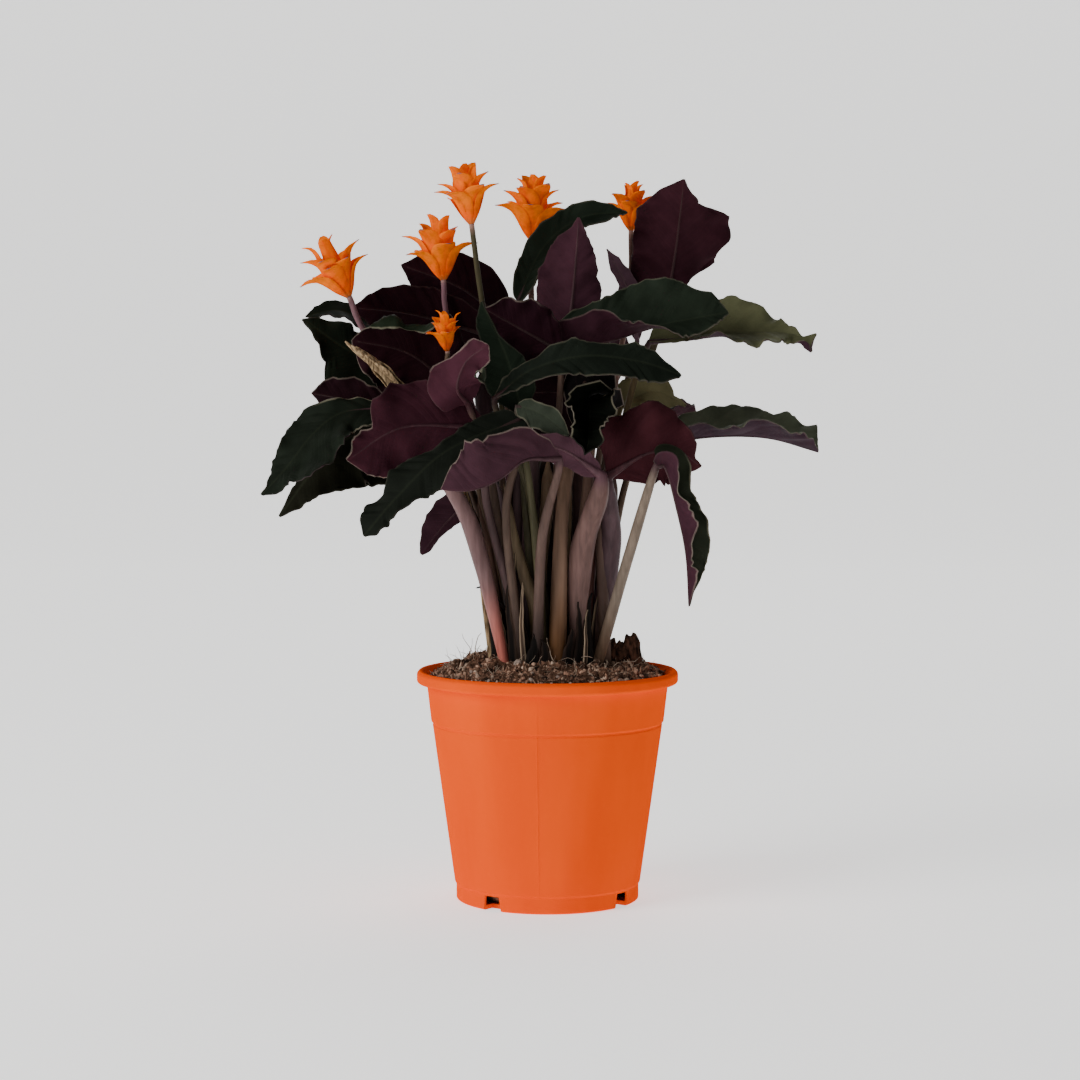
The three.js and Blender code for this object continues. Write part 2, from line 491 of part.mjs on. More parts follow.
for (const leaf of LEAVES) {
  Object.assign(leaf, { ...PLAIN_LEAF, ...leaf });
  const [x, y] = leaf.foot;
  leaf.points = [new THREE.Vector3(x, y, soilTop(x, y)), ...leaf.spine.map(vec)];
  leaf.midrib = leaf.points.slice(leaf.base);
  const tangent = direction(leaf.midrib, 0);
  leaf.side = tangent.cross(vec(leaf.face[0])).normalize();
}
for (const bloom of [...BLOOMS, DRIED]) {
  const [x, y] = bloom.foot;
  bloom.points = [new THREE.Vector3(x, y, soilTop(x, y)), ...bloom.stalk.map(vec)];
}

// ---- pot, soil and what lies on it --------------------------------------
function fromGeometry(geometry) {
  // A three.js shape as a solid, its seams welded.
  geometry.deleteAttribute('normal');
  geometry.deleteAttribute('uv');
  const merged = mergeVertices(geometry, 1e-4);
  const vertProperties = new Float32Array(merged.attributes.position.array);
  const triVerts = new Uint32Array(merged.index.array);
  return new wasm.Manifold(new wasm.Mesh({ numProp: 3, vertProperties, triVerts }));
}

function lathe(profile, sides) {
  // Revolved body round the z axis from [radius, z] points that start and end on the axis.
  const geometry = new THREE.LatheGeometry(profile.map(([r, z]) => new THREE.Vector2(r, z)), sides);
  geometry.rotateX(Math.PI / 2);
  return fromGeometry(geometry);
}

function potBody() {
  const rimZ = POT_HEIGHT - RIM_HEIGHT;
  const wallAt = (z) => mix(WALL_FOOT_RADIUS, WALL_TOP_RADIUS, (z - FOOT_HEIGHT) / (rimZ - FOOT_HEIGHT));
  let pot = lathe([
    [0, 0],
    [FOOT_RADIUS - 1, 0],
    [FOOT_RADIUS, 1],
    [FOOT_RADIUS, FOOT_HEIGHT - 0.4],
    [WALL_FOOT_RADIUS, FOOT_HEIGHT + 0.4],
    [wallAt(RING_Z), RING_Z],
    [wallAt(RING_Z) + 0.5, RING_Z + 0.6],
    [WALL_TOP_RADIUS, rimZ],
    [RIM_RADIUS - 0.7, rimZ],
    [RIM_RADIUS, rimZ + 1],
    [RIM_RADIUS, POT_HEIGHT - 1.4],
    [RIM_RADIUS - 1.4, POT_HEIGHT],
    [RIM_RADIUS - 2.6, POT_HEIGHT],
    [WALL_TOP_RADIUS - WALL + 0.4, rimZ + 1.5],
    [WALL_FOOT_RADIUS - WALL, FOOT_HEIGHT],
    [FOOT_RADIUS - WALL, FLOOR],
    [0, FLOOR],
  ], POT_SIDES);
  for (const angle of DRAIN_ANGLES) {
    // A drain notch at the foot, open outwards and downwards.
    const notch = new THREE.BoxGeometry(DRAIN_WIDTH, 14, DRAIN_HEIGHT + 2);
    notch.translate(0, -FOOT_RADIUS, DRAIN_HEIGHT / 2 - 1);
    notch.rotateZ(rad(angle));
    pot = pot.subtract(fromGeometry(notch));
  }
  return pot;
}

function soilBody(cutters) {
  // The root ball fills the pot; its top is mounded and crumbly.
  const rimZ = POT_HEIGHT - RIM_HEIGHT;
  const low = FLOOR + FIT;
  const lowRadius = FOOT_RADIUS - WALL - FIT - 6;
  const radii = [0, 18, 35, 46, 54, 60.5];
  const vertices = [new THREE.Vector3(0, 0, low), new THREE.Vector3(0, 0, soilTop(0, 0))];
  const faces = [];
  const ring = (radius, height) => {
    for (let k = 0; k < SOIL_SIDES; k += 1) {
      const angle = 2 * Math.PI * k / SOIL_SIDES;
      vertices.push(new THREE.Vector3(radius * Math.cos(angle), radius * Math.sin(angle), height(angle)));
    }
    return vertices.length - SOIL_SIDES;
  };
  const starts = [
    ring(lowRadius, () => low),
    ring(WALL_FOOT_RADIUS - WALL - FIT - 1.2, () => FOOT_HEIGHT + 2),
    ring(WALL_TOP_RADIUS - WALL - FIT - 0.4, () => rimZ),
    ...radii.slice(1).reverse().map((radius) => ring(radius, (angle) => {
      const crumbs = 1.1 * Math.sin(5 * angle + radius) + 0.9 * Math.sin(9 * angle - 2 * radius)
        + 0.7 * Math.sin(13 * angle + 3 * radius);
      return soilTop(radius, 0) + crumbs * (radius > 58 ? 0.5 : 1);
    })),
  ];
  for (let i = 0; i + 1 < starts.length; i += 1) {
    for (let k = 0; k < SOIL_SIDES; k += 1) {
      const next = (k + 1) % SOIL_SIDES;
      const [a, b, c, d] = [starts[i] + k, starts[i] + next, starts[i + 1] + next, starts[i + 1] + k];
      faces.push([a, b, c], [a, c, d]);
    }
  }
  for (let k = 0; k < SOIL_SIDES; k += 1) {
    const next = (k + 1) % SOIL_SIDES;
    faces.push([0, starts[0] + next, starts[0] + k]);
    faces.push([1, starts[starts.length - 1] + k, starts[starts.length - 1] + next]);
  }
  let soil = solid(vertices, faces);
  for (const cutter of cutters) soil = soil.subtract(cutter);
  return largest(soil);
}

function barkBody(margin) {
  // A curved flake of bark standing slantwise in the soil, right of the petioles.
  const rows = [[-6, 9], [4, 10], [10, 9], [13, 6]];
  const vertices = [];
  const faces = [];
  for (const [z, half] of rows) {
    const grow = half + margin;
    const thick = 1.6 + margin;
    const height = z + (z < 0 ? -margin : 0) + (z > 10 ? margin : 0);
    vertices.push(vec([-grow, -thick - 0.08 * z, height]), vec([grow, -thick + 0.1 * z, height + 1]),
      vec([grow, thick + 0.1 * z, height + 1]), vec([-grow, thick - 0.08 * z, height]));
  }
  for (let i = 0; i + 4 < vertices.length; i += 4) {
    for (let k = 0; k < 4; k += 1) {
      const a = i + k;
      const b = i + (k + 1) % 4;
      faces.push([a, b, b + 4], [a, b + 4, a + 4]);
    }
  }
  const top = vertices.length - 4;
  faces.push([0, 2, 1], [0, 3, 2], [top, top + 1, top + 2], [top, top + 2, top + 3]);
  const turn = new THREE.Matrix4().makeRotationZ(rad(BARK.turn))
    .setPosition(BARK.x, BARK.y, soilTop(BARK.x, BARK.y));
  return solid(vertices.map((p) => p.applyMatrix4(turn)), faces);
}

function driedBody() {
  // A spent flower head: a flattened papery sheath on its own stalk.
  const { centres, radii } = rise(DRIED.points, DRIED.stem, 0, 6);
  const stalk = tube(centres, radii, SIDE);
  const path = DRIED.points;
  const end = path[path.length - 1];
  const axis = direction(path, 1);
  const side = axis.clone().cross(new THREE.Vector3(0, 1, 0)).normalize();
  const across = axis.clone().cross(side);
  const vertices = [];
  const faces = [];
  const rings = [[-10, 1.2, 1.2], [0, 3, 2], [12, 4.6, 2], [24, 4, 1.6], [33, 2.4, 1], [38, 1, 0.6]];
  for (const [up, wide, thick] of rings) {
    for (let k = 0; k < 8; k += 1) {
      const angle = 2 * Math.PI * k / 8;
      const ragged = k % 2 && up > 10 ? 0.6 : 1;
      vertices.push(end.clone().addScaledVector(axis, k % 2 ? up : 1.06 * up)
        .addScaledVector(side, wide * ragged * Math.cos(angle))
        .addScaledVector(across, thick * ragged * Math.sin(angle)));
    }
  }
  for (let i = 0; i + 8 < vertices.length; i += 8) {
    for (let k = 0; k < 8; k += 1) {
      const a = i + k;
      const b = i + (k + 1) % 8;
      faces.push([a, b, b + 8], [a, b + 8, a + 8]);
    }
  }
  const top = vertices.length - 8;
  for (let k = 1; k < 7; k += 1) faces.push([0, k + 1, k], [top, top + k, top + k + 1]);
  return largest(stalk.add(solid(vertices, faces)));
}

// ---- assembly -----------------------------------------------------------
const COLOURS = {
  leaf: ['#2b3328', 0.45],
  bract: ['#f07a1c', 0.5],
  stalk: ['#66494c', 0.55],
  pot: ['#f4702b', 0.42],
  soil: ['#4a352a', 0.95],
  bark: ['#5a4334', 0.9],
  dried: ['#a08868', 0.8],
};

const root = new THREE.Group();
root.name = 'eternal_flame_calathea';

function place(name, body, kind) {
  // Adds a body as a mesh with its own material.
  const mesh = body.getMesh();
  const geometry = new THREE.BufferGeometry();
  const positions = new Float32Array(mesh.numVert * 3);
  for (let i = 0; i < mesh.numVert; i += 1) {
    for (let k = 0; k < 3; k += 1) positions[3 * i + k] = mesh.vertProperties[mesh.numProp * i + k];
  }
  geometry.setAttribute('position', new THREE.BufferAttribute(positions, 3));
  geometry.setIndex(Array.from(mesh.triVerts));
  geometry.computeVertexNormals();
  const [color, roughness] = COLOURS[kind];
  const item = new THREE.Mesh(geometry, new THREE.MeshStandardMaterial({ color, roughness, metalness: 0 }));
  item.name = name;
  root.add(item);
}

const cutters = [];
for (const leaf of LEAVES) {
  place(leaf.name, leafBody(leaf), 'leaf');
  const { centres, radii } = petiolePath(leaf, FIT);
  cutters.push(tube(centres, radii, leaf.side));
}
for (const bloom of BLOOMS) {
  const { centres, radii } = rise(bloom.points, bloom.stem, 0, 6);
  place(`stalk_${bloom.name}`, tube(centres, radii, SIDE), 'stalk');
  place(`bloom_${bloom.name}`, bloomBody(bloom), 'bract');
  const hole = rise(bloom.points, bloom.stem, FIT, 6);
  cutters.push(tube(hole.centres, hole.radii, SIDE));
}
place('dried_bloom', driedBody(), 'dried');
const driedHole = rise(DRIED.points, DRIED.stem, FIT, 6);
cutters.push(tube(driedHole.centres, driedHole.radii, SIDE));
place('bark_flake', barkBody(0), 'bark');
cutters.push(barkBody(FIT));
place('soil', soilBody(cutters), 'soil');
place('pot', potBody(), 'pot');

export default root;
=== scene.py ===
# %% [markdown]
# # Eternal flame calathea in its nursery pot
# A calathea grown for its flowers: thin waxy leaves, dark green above and matt purple
# below, each on its own petiole, and orange flower heads on bare stalks, in a moulded
# orange pot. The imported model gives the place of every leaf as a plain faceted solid.
# This notebook grows the same forms again from the same numbers, finely, and gives each
# its finish. Lengths are millimetres in the tables and metres in Blender.

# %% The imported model
import math

import bmesh
import bpy
import numpy as np
from mathutils import Matrix, Vector, noise


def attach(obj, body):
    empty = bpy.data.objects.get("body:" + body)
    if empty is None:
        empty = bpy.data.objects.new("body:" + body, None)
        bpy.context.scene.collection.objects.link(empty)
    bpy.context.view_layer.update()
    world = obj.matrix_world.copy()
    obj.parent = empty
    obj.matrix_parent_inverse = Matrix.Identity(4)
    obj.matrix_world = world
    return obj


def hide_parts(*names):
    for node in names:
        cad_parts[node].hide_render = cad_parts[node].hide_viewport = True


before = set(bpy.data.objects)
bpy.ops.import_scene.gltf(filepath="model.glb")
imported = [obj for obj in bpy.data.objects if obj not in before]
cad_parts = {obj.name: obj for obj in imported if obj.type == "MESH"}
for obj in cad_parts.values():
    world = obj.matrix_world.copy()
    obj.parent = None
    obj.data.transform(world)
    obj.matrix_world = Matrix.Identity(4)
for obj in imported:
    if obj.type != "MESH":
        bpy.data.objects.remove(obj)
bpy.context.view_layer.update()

MM = 0.001
scene = bpy.context.scene
print("nodes in the packed model:", len(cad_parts))

# %% [markdown]
# ## Camera, floor and light
# The camera stands 1.4 m in front of the pot with a long lens, a little above the leaves,
# and looks slightly down, so the near rim covers the far one. A real product table is a
# sheet of pale paper that curves up behind the object. One swept strip of faces makes it.

# %% Camera and floor
CAMERA_PLACE = Vector((-4.07, -1370, 272))    # mm
LOOK_DOWN = 3.2                               # degrees below level
FOCAL_LENGTH, SENSOR = 84.3, 36               # mm

camera = bpy.data.objects.new("studio_camera", bpy.data.cameras.new("studio_camera"))
camera.location = CAMERA_PLACE * MM
camera.rotation_euler = (math.radians(90 - LOOK_DOWN), 0, 0)
camera.data.lens, camera.data.sensor_width = FOCAL_LENGTH, SENSOR
camera.data.clip_end = 50
scene.collection.objects.link(camera)
scene.camera = camera


def link(name, mesh):
    """A new object that shows the mesh, at the origin."""
    piece = bpy.data.objects.new(name, mesh)
    scene.collection.objects.link(piece)
    return piece


def mesh_from(name, points, faces, smooth=True):
    """A mesh from points in metres and faces as index lists."""
    mesh = bpy.data.meshes.new(name)
    mesh.from_pydata(np.asarray(points).tolist(), [], [list(map(int, face)) for face in faces])
    mesh.update()
    mesh.shade_smooth() if smooth else mesh.shade_flat()
    return mesh


def paper_sweep(width=9.0, front=-4.0, bend=2.6, radius=1.6, wall=5.0, steps=24):
    """The paper's side view in metres, from the front edge round the bend and up, swept
    sideways."""
    side = [(front, 0.0)]
    for k in range(steps + 1):
        turn = math.radians(90 * k / steps)
        side.append((bend + radius * math.sin(turn), radius * (1 - math.cos(turn))))
    side.append((bend + radius, wall))
    points = [(x, y, z) for y, z in side for x in (-width / 2, width / 2)]
    faces = [(2 * k, 2 * k + 1, 2 * k + 3, 2 * k + 2) for k in range(len(side) - 1)]
    return link("paper_floor", mesh_from("paper_floor", points, faces))


floor = paper_sweep()
print("camera lens", round(camera.data.lens, 1), "mm, floor faces", len(floor.data.polygons))

# %% [markdown]
# The light is that of a product studio: one wide soft box high on the left, a weaker one
# on the right, a strip from behind that draws the rims of the leaves, and a pale room.
# Large lamps give the waxy leaves broad, faint highlights instead of hard spots.

# %% Light
PLANT_MIDDLE = Vector((0, 0, 0.2))            # metres
LAMPS = [   # side, place and width in metres, watts
    ("left", (-1.7, -1.2, 1.3), 1.2, 37),
    ("right", (1.9, -1.2, 1.0), 1.4, 0.5),
    ("back", (0.5, 1.6, 1.9), 1.4, 7)]


def soft_box(name, place, size, power):
    """A square area lamp that faces the middle of the plant."""
    lamp = bpy.data.lights.new(name, "AREA")
    lamp.shape, lamp.size, lamp.energy = "SQUARE", size, power
    holder = bpy.data.objects.new(name, lamp)
    holder.location = place
    holder.rotation_euler = (PLANT_MIDDLE - holder.location).to_track_quat("-Z", "Y").to_euler()
    scene.collection.objects.link(holder)


for side, place, size, power in LAMPS:
    soft_box("soft_box_" + side, place, size, power)
room = bpy.data.worlds.new("studio_room")
scene.world = room
room.use_nodes = True
room_light = room.node_tree.nodes["Background"].inputs
room_light["Color"].default_value = (1, 1, 1, 1)
room_light["Strength"].default_value = 0.15

# %% [markdown]
# ## Colours and nodes
# Colours are written as they are seen on a screen, in sRGB hex, but a shader reckons in
# linear light, so one function turns them round. Another small function adds a node, sets
# its options and links its inputs, which keeps each material short to read.

# %% Colour and node helpers
def linear(colour):
    """An sRGB hex value as linear red, green, blue and alpha."""
    parts = [int(colour[k:k + 2], 16) / 255 for k in (1, 3, 5)]
    return [c / 12.92 if c <= 0.04045 else ((c + 0.055) / 1.055) ** 2.4 for c in parts] + [1.0]


def paints(*colours):
    """Several sRGB colours as linear arrays, which can be mixed."""
    return [np.array(linear(colour)) for colour in colours]


def add(tree, kind, inputs=(), out=None, **settings):
    """Adds a node with its settings and links. inputs gives values or other nodes' sockets
    by input name or number. Returns the node, or the output of the name or number in out."""
    node = tree.nodes.new(kind)
    for key, value in settings.items():
        setattr(node, key, value)
    for key, value in dict(inputs).items():
        if isinstance(value, bpy.types.NodeSocket):
            tree.links.new(value, node.inputs[key])
        else:
            node.inputs[key].default_value = value
    return node if out is None else node.outputs[out]


def new_material(name, roughness, ior=1.45, **sockets):
    """A material with a Principled shader: its tree and that shader."""
    material = bpy.data.materials.new(name)
    material.use_nodes = True
    shader = material.node_tree.nodes["Principled BSDF"]
    shader.inputs["Roughness"].default_value = roughness
    shader.inputs["IOR"].default_value = ior
    for key, value in sockets.items():
        shader.inputs[key.replace("_", " ")].default_value = value
    return material, material.node_tree, shader


def set_stops(shades, stops):
    """Gives a colour ramp its stops: a place from 0 to 1 and a colour each."""
    points = shades.color_ramp.elements
    for number, (place, colour) in enumerate(stops):
        point = points[number] if number < 2 else points.new(place)
        point.position, point.color = place, linear(colour)


# White paper, lit through from behind as on a light table, so it stays pale under the pot.
paper = new_material("white_backdrop_paper", 0.9, Specular_IOR_Level=0.0,
                     Base_Color=linear("#f2f1ee"), Emission_Color=linear("#ffffff"),
                     Emission_Strength=1.0)[0]
floor.data.materials.append(paper)
print("backdrop:", paper.name)

# %% [markdown]
# ## The leaves' plan
# A leaf is a flat blade only in a botany book. Here each one is a midrib curve in space
# with a surface that folds, curls and ruffles to either side of it. The table holds what
# tells one leaf from the next, so every leaf is the same few lines of mathematics. What a
# row leaves out is as in PLAIN.
#
# - foot and spine: where the petiole enters the soil, then points up to the leaf's tip.
# - base: which of those points is the base of the blade (the foot is 0).
# - face: the way the green side looks at the base and at the tip.
# - half, shape: half widths left and right, and how fast each widens and narrows.
# - fold, curl: degrees each half rises from flat, and bends further towards its margin, at
#   the base and at the tip, first for the left half and then for the right.
# - lobes, wave: swellings of the margin, and its ruffle (height, count, phase).
# - cusp: how deep the hollows of the margin are, in mm.
# - edges: half widths left and right at even steps along the blade, where it is uneven.
# - stem, swell: the petiole's radius, and its shares of that from the foot to the neck.

# %% Table of leaves
LEAVES = [
    dict(name="top_right", foot=[17, 16], spine=[[34, 34, 225], [66, 40, 322], [71, 36, 354],
         [75, 26, 392]], face=[[0.15, 1, 0.1], [0.15, 1, 0.2]], half=[29, 26],
         fold=[20, 25, 8, 8], curl=[10, 20, 0, 0], wave=[4.5, 3, 0.5], cusp=1.6, stem=2.9,
         edges=[[2, 6.2, 7.8, 9, 17.8, 27, 25, 30.2, 34.3, 33.8, 10.6, 5, 0.5], [2, 14.2, 20.6,
         25.8, 25.8, 24.2, 25, 27, 26.2, 25, 19.4, 12.2, 1]]),
    dict(name="back_right_bud", foot=[12, 23], spine=[[28, 37, 225], [50, 40, 304],
         [45.5, 38, 331], [33, 36, 354.5]], face=[[0.3, 1, 0.1], [0.3, 1, 0.1]], half=[7, 8],
         fold=[25] * 4, curl=[20] * 4, wave=[0.6, 3, 0], stem=2.5),
    dict(name="right_arch", foot=[-3, 2], spine=[[-12, 3, 220], [-18, 2, 295], [28, -6, 302],
         [60, -8, 311], [97, -6, 318]], face=[[0, 0, 1], [0, -0.5, 1]], half=[29, 27],
         fold=[62, 45, 85, -15], wave=[2.5, 3, 0], cusp=1.2, stem=3.1, edges=[[2, 4.6, 9.4, 16.2,
         21, 25, 26.2, 25, 25.4, 25.8, 27.4, 29, 28.6, 29, 27.4, 25.8, 24.2, 19, 16.2, 13.4, 1],
         [2, 7.4, 10.6, 14.2, 17.4, 17, 18.6, 21.8, 25, 27, 27, 26, 25, 23, 21, 19, 16, 13, 10, 7,
         1]]),
    dict(name="right_long", foot=[24, 7], spine=[[35, 12, 225], [56, 24, 303], [84, 22, 306],
         [111, 18, 308], [128.6, 14, 307.8], [137.6, 11, 305], [143.3, 8, 297.3]],
         face=[[0, -0.4, 1], [0.1, -0.7, 0.8]], half=[27, 20], fold=[20, 20, 20, 10],
         wave=[3, 3, 1], stem=2.9, edges=[[2, 27.4, 31.4, 31.8, 31.8, 27.4, 23.8, 19.8, 14.6, 11,
         6.6, 3, 3, 2.2, 7, 5.8, 1], [2, 3, 3, 23.7, 23.7, 23.7, 23.7, 23.7, 23.7, 23.7, 23.7, 13,
         7, 7.4, 7.8, 8.6, 1]]),
    dict(name="right_low", foot=[30, 1], spine=[[36, 4, 195], [51, 12, 244], [83, 10, 251],
         [118, 8, 251], [147, 4, 243]], face=[[0, -0.25, 1], [0, -0.25, 1]], half=[25, 25],
         fold=[30, 30, 32, 32], wave=[3, 3, 0], stem=2.9, edges=[[2, 7.8, 12.6, 17.8, 21.8, 21,
         21.4, 20.2, 24.6, 26.6, 25.4, 17.4, 21, 18.2, 18.6, 21, 1], [2, 9, 15, 18, 18, 18, 19,
         22, 24, 26, 23, 29, 30, 29, 27, 24, 1]]),
    dict(name="right_drooping", foot=[27, -18], spine=[[44, -30, 192], [57, -47, 237],
         [62, -48, 236], [68, -46, 214], [73, -40, 190], [75, -31, 162]], face=[[0.3, -0.3, 1],
         [1, -0.1, 0.1]], half=[20, 13], fold=[60, 60, 35, 35], wave=[3, 3, 2], stem=3.7,
         edges=[[2, 8.6, 11.8, 13, 12.6, 11, 11, 13.8, 15, 14.6, 15.4, 15, 11, 3.4, 0.6], [2, 9,
         13, 16, 17, 15.5, 13.5, 12, 13.2, 12.1, 10.1, 7.5, 6.5, 3.9, 0.3]],
         swell=[0.9, 0.95, 0.85, 0.75]),
    dict(name="right_pale", foot=[25, 15], spine=[[33, 24, 220], [41, 26, 268], [58, 26, 276],
         [76, 24, 268]], face=[[0.2, -0.8, 0.6], [0.4, -0.8, 0.4]], half=[14, 14], fold=[15] * 4,
         wave=[1.2, 3, 0], stem=2.5, edges=[[2, 11, 13, 12.2, 11.8, 11.8, 11.8, 7, 2.2, 3, 1], [2,
         5.8, 9.8, 14.6, 15, 14.6, 15.7, 15.7, 11, 3, 1]]),
    dict(name="front_brown", foot=[26, -8], spine=[[34, -17, 195], [32, -30, 231], [52, -38, 243],
         [69, -37, 244], [81, -32, 236]], face=[[0, 1, 0.2], [0, 1, 0.3]], half=[15, 27],
         curl=[0, 0, 30, 30], wave=[4, 3, 1], stem=4.6, edges=[[2, 9.8, 15.8, 18.8, 18.8, 18.8,
         18.8, 18.8, 18.8, 18.8, 1], [2, 23, 27, 27, 26.5, 26, 23.4, 13, 6.2, 3, 0.8]],
         swell=[0.75, 1.1, 1.25, 1.1]),
    dict(name="front_cup", foot=[5, -29], spine=[[8, -30, 215], [16, -20, 256], [20, -17, 281],
         [22, -34, 264], [21, -51, 250], [19, -62, 243]], face=[[0, 1, 0.3], [0, -0.8, 0.6]],
         half=[19, 17], fold=[40] * 4, curl=[10] * 4, lobes=[1.5, 3], wave=[3.6, 3, 0], cusp=2,
         stem=5.2, swell=[0.95, 0.85, 0.7, 0.62]),
    dict(name="front_mauve", foot=[-5.5, -30], spine=[[-3, -42, 198], [6, -58, 241],
         [-11.3, -66, 240.9], [-25.1, -72, 230.8], [-39.5, -74, 225.2], [-54.9, -72, 225.2]],
         face=[[0, 0, 1], [0, 0, 1]], half=[37, 16], fold=[75, 75, 50, 50], curl=[0, 0, 10, 10],
         wave=[1.5, 3, 0], cusp=3.2, stem=3.4, edges=[[2, 11.4, 14.2, 21.8, 24.2, 25, 27.4, 28.6,
         25, 21.8, 15, 1], [1.3, 9.8, 13.1, 16.2, 16, 14.4, 15.7, 15.5, 11.8, 9.3, 6.1, 0.3]]),
    dict(name="front_centre", foot=[15, -23], spine=[[18, -30, 190], [28, -43, 232],
         [6, -50, 246], [-20, -53, 248]], face=[[0, 1, 0.2], [0, 1, 0.2]], half=[8, 9],
         wave=[0.8, 3, 0], stem=5, swell=[0.6, 1, 1.3, 1.2]),
    dict(name="front_young", foot=[-1, -22], spine=[[-9, -36, 222], [-16, -40, 268],
         [-4, -44, 264], [11, -44, 253]], face=[[0, -1, 0.5], [0, -1, 0.4]], half=[10, 10],
         wave=[0.8, 3, 0], stem=2.5, edges=[[2, 5.4, 6.2, 6.2, 6.2, 6.6, 7.8, 7.4, 5.4, 3.4, 0.7],
         [2, 6.2, 7, 8.6, 9.8, 10.2, 9.8, 8.2, 6.6, 3.8, 1]]),
    dict(name="front_left_dark", foot=[-13, -26], spine=[[-22, -37, 212], [-12, -41, 262],
         [-52, -52, 245], [-77, -59, 222], [-95, -63, 201]], face=[[-0.2, -0.8, 0.6],
         [-0.5, -0.8, 0.3]], half=[18, 19], wave=[2, 3, 0.6], stem=2.9, edges=[[2, 20.4, 20.4,
         20.4, 20.4, 20.4, 20.4, 20.4, 20.4, 20.4, 15.8, 13.4, 12.6, 10.6, 9.4, 7.4, 7.4, 5.8, 1],
         [2, 9.4, 11.4, 11, 9, 7, 5.8, 6.6, 9.8, 11.8, 13, 13, 11, 7.4, 9, 11, 10.2, 7.4, 1]]),
    dict(name="low_left_tip", foot=[-28, 8], spine=[[-34, 12, 190], [-42, 15, 217],
         [-56, 15, 204], [-69, 12, 187]], face=[[-0.3, 1, 0.3], [-0.3, 1, 0.3]], half=[11, 11],
         wave=[0.5, 3, 0], edges=[[2, 10.2, 11.8, 12.3, 12.2, 11.8, 11, 9.8, 7, 5, 1], [2, 7.8,
         8.6, 8.6, 6.6, 5, 5, 4.2, 3.8, 3.8, 1]]),
    dict(name="left_large", foot=[-23, -23], base=3, spine=[[-35, -25, 184], [-48, -24, 219],
         [-83.2, -17, 267], [-108.8, -24, 264.4], [-123.9, -29, 253.3], [-137.7, -35, 235.4],
         [-150.6, -38, 221.3]], face=[[-0.3, -0.7, 0.7], [-0.6, -0.7, 0.4]], half=[27.2, 22],
         fold=[12] * 4, wave=[3, 3, 0], stem=5.6, edges=[[2, 14.6, 18.2, 19.4, 18.2, 26.2, 30.6,
         32.2, 27.8, 28.6, 31.4, 30.2, 17.8, 10.2, 8.6, 1], [2, 4.6, 9.8, 10.6, 9, 12.2, 15.4, 19,
         16.2, 14.2, 11.4, 12.2, 9.8, 6.2, 1.4, 1]], swell=[0.55, 0.75, 0.95, 0.85]),
    dict(name="left_olive", foot=[-23, -12], spine=[[-41, -10, 205], [-78, -4, 252],
         [-112, -6, 248], [-144, -14, 209]], face=[[0, -0.85, 0.6], [-0.3, -0.8, 0.6]],
         half=[32, 12], fold=[8, 5, 5, 5], wave=[2, 3, 0], edges=[[2, 34.2, 35.8, 35.8, 35.8,
         35.8, 35.8, 35.8, 35.8, 33.8, 27.4, 18.6, 10.2, 6.6, 1], [1.3, 7.5, 9.8, 11.1, 11.8, 12,
         11.8, 11.3, 10.5, 9.5, 8.2, 6.6, 4.8, 2.2, 0.3]]),
    dict(name="left_red", foot=[-10, -21], spine=[[-32, -29, 215], [-35, -34, 257],
         [-76, -42, 257], [-105, -46.5, 240]], face=[[-0.1, 1, 0.25], [-0.2, 1, 0.4]],
         half=[24, 28], wave=[4.5, 3, 0], cusp=3.2, stem=2.9, edges=[[6, 15, 18, 18.6, 23, 25, 25,
         24.6, 23, 9, 8.6, 10.6, 5.4, 1], [6, 15, 22, 25.8, 31.8, 30.2, 29, 29, 32.6, 31.4, 25.8,
         23, 15.8, 1]]),
    dict(name="centre_mauve", foot=[-17, -16], spine=[[-30, -24, 228], [-42, -38, 269.2],
         [-47.3, -50, 277.5], [-42.5, -55, 291], [-31, -59, 299.7]], face=[[0, 1, 0.1],
         [-0.3, 1, 0]], half=[17, 19], fold=[15] * 4, wave=[2.5, 3, 0], cusp=1.6, edges=[[2, 20.6,
         19.8, 15.4, 15.4, 14.6, 13, 12.6, 10.6, 8.2, 1], [2, 11.4, 13.4, 17.8, 16.2, 14.6, 9.4,
         7.8, 7.4, 7.8, 1]]),
    dict(name="left_upper", foot=[-12, -1], spine=[[-32, -8, 225], [-48, -9, 276],
         [-74, -15, 296], [-104, -23, 303]], face=[[0, 1, 0.3], [-0.2, 1, 0.3]], half=[28, 29],
         lobes=[2, 3], wave=[4.5, 3, 0], stem=2.9),
    dict(name="left_band", foot=[-11, 9], spine=[[-20, 23, 240], [-30, 28, 306], [-72, 26, 318],
         [-107, 20, 322]], face=[[0, 1, 0.4], [0, 1, 0.4]], half=[17, 17]),
    dict(name="left_point", foot=[-18, 4], spine=[[-43, 10, 225], [-86, 16, 288], [-110, 13, 299],
         [-133, 8, 315]], face=[[-0.2, -0.8, 0.5], [-0.2, -0.8, 0.6]], half=[26, 14],
         wave=[2.5, 3, 0], edges=[[2, 26.2, 27.8, 29.4, 29.4, 29.4, 14.2, 12.2, 6.6, 2.2, 0.8],
         [1.3, 9, 12.2, 14.5, 13.2, 12.7, 14, 11.7, 8.5, 5.7, 0.3]]),
    dict(name="left_sliver", foot=[-22, 13], spine=[[-42, 26, 235], [-90, 34, 308],
         [-114, 32, 320], [-133, 26, 317]], face=[[0, -0.6, 1], [0, -0.6, 1]], half=[10, 10],
         stem=2.5),
    dict(name="left_small", foot=[-26, -5], spine=[[-38, -4, 205], [-84, -6, 266],
         [-110, -6, 272], [-127, -7, 275]], face=[[0, 0.8, 0.6], [0, 0.8, 0.6]], half=[14, 12],
         stem=2.5),
    dict(name="back_round", foot=[-4, 19], spine=[[-14, 36, 240], [-24, 42, 316], [-49, 43, 334],
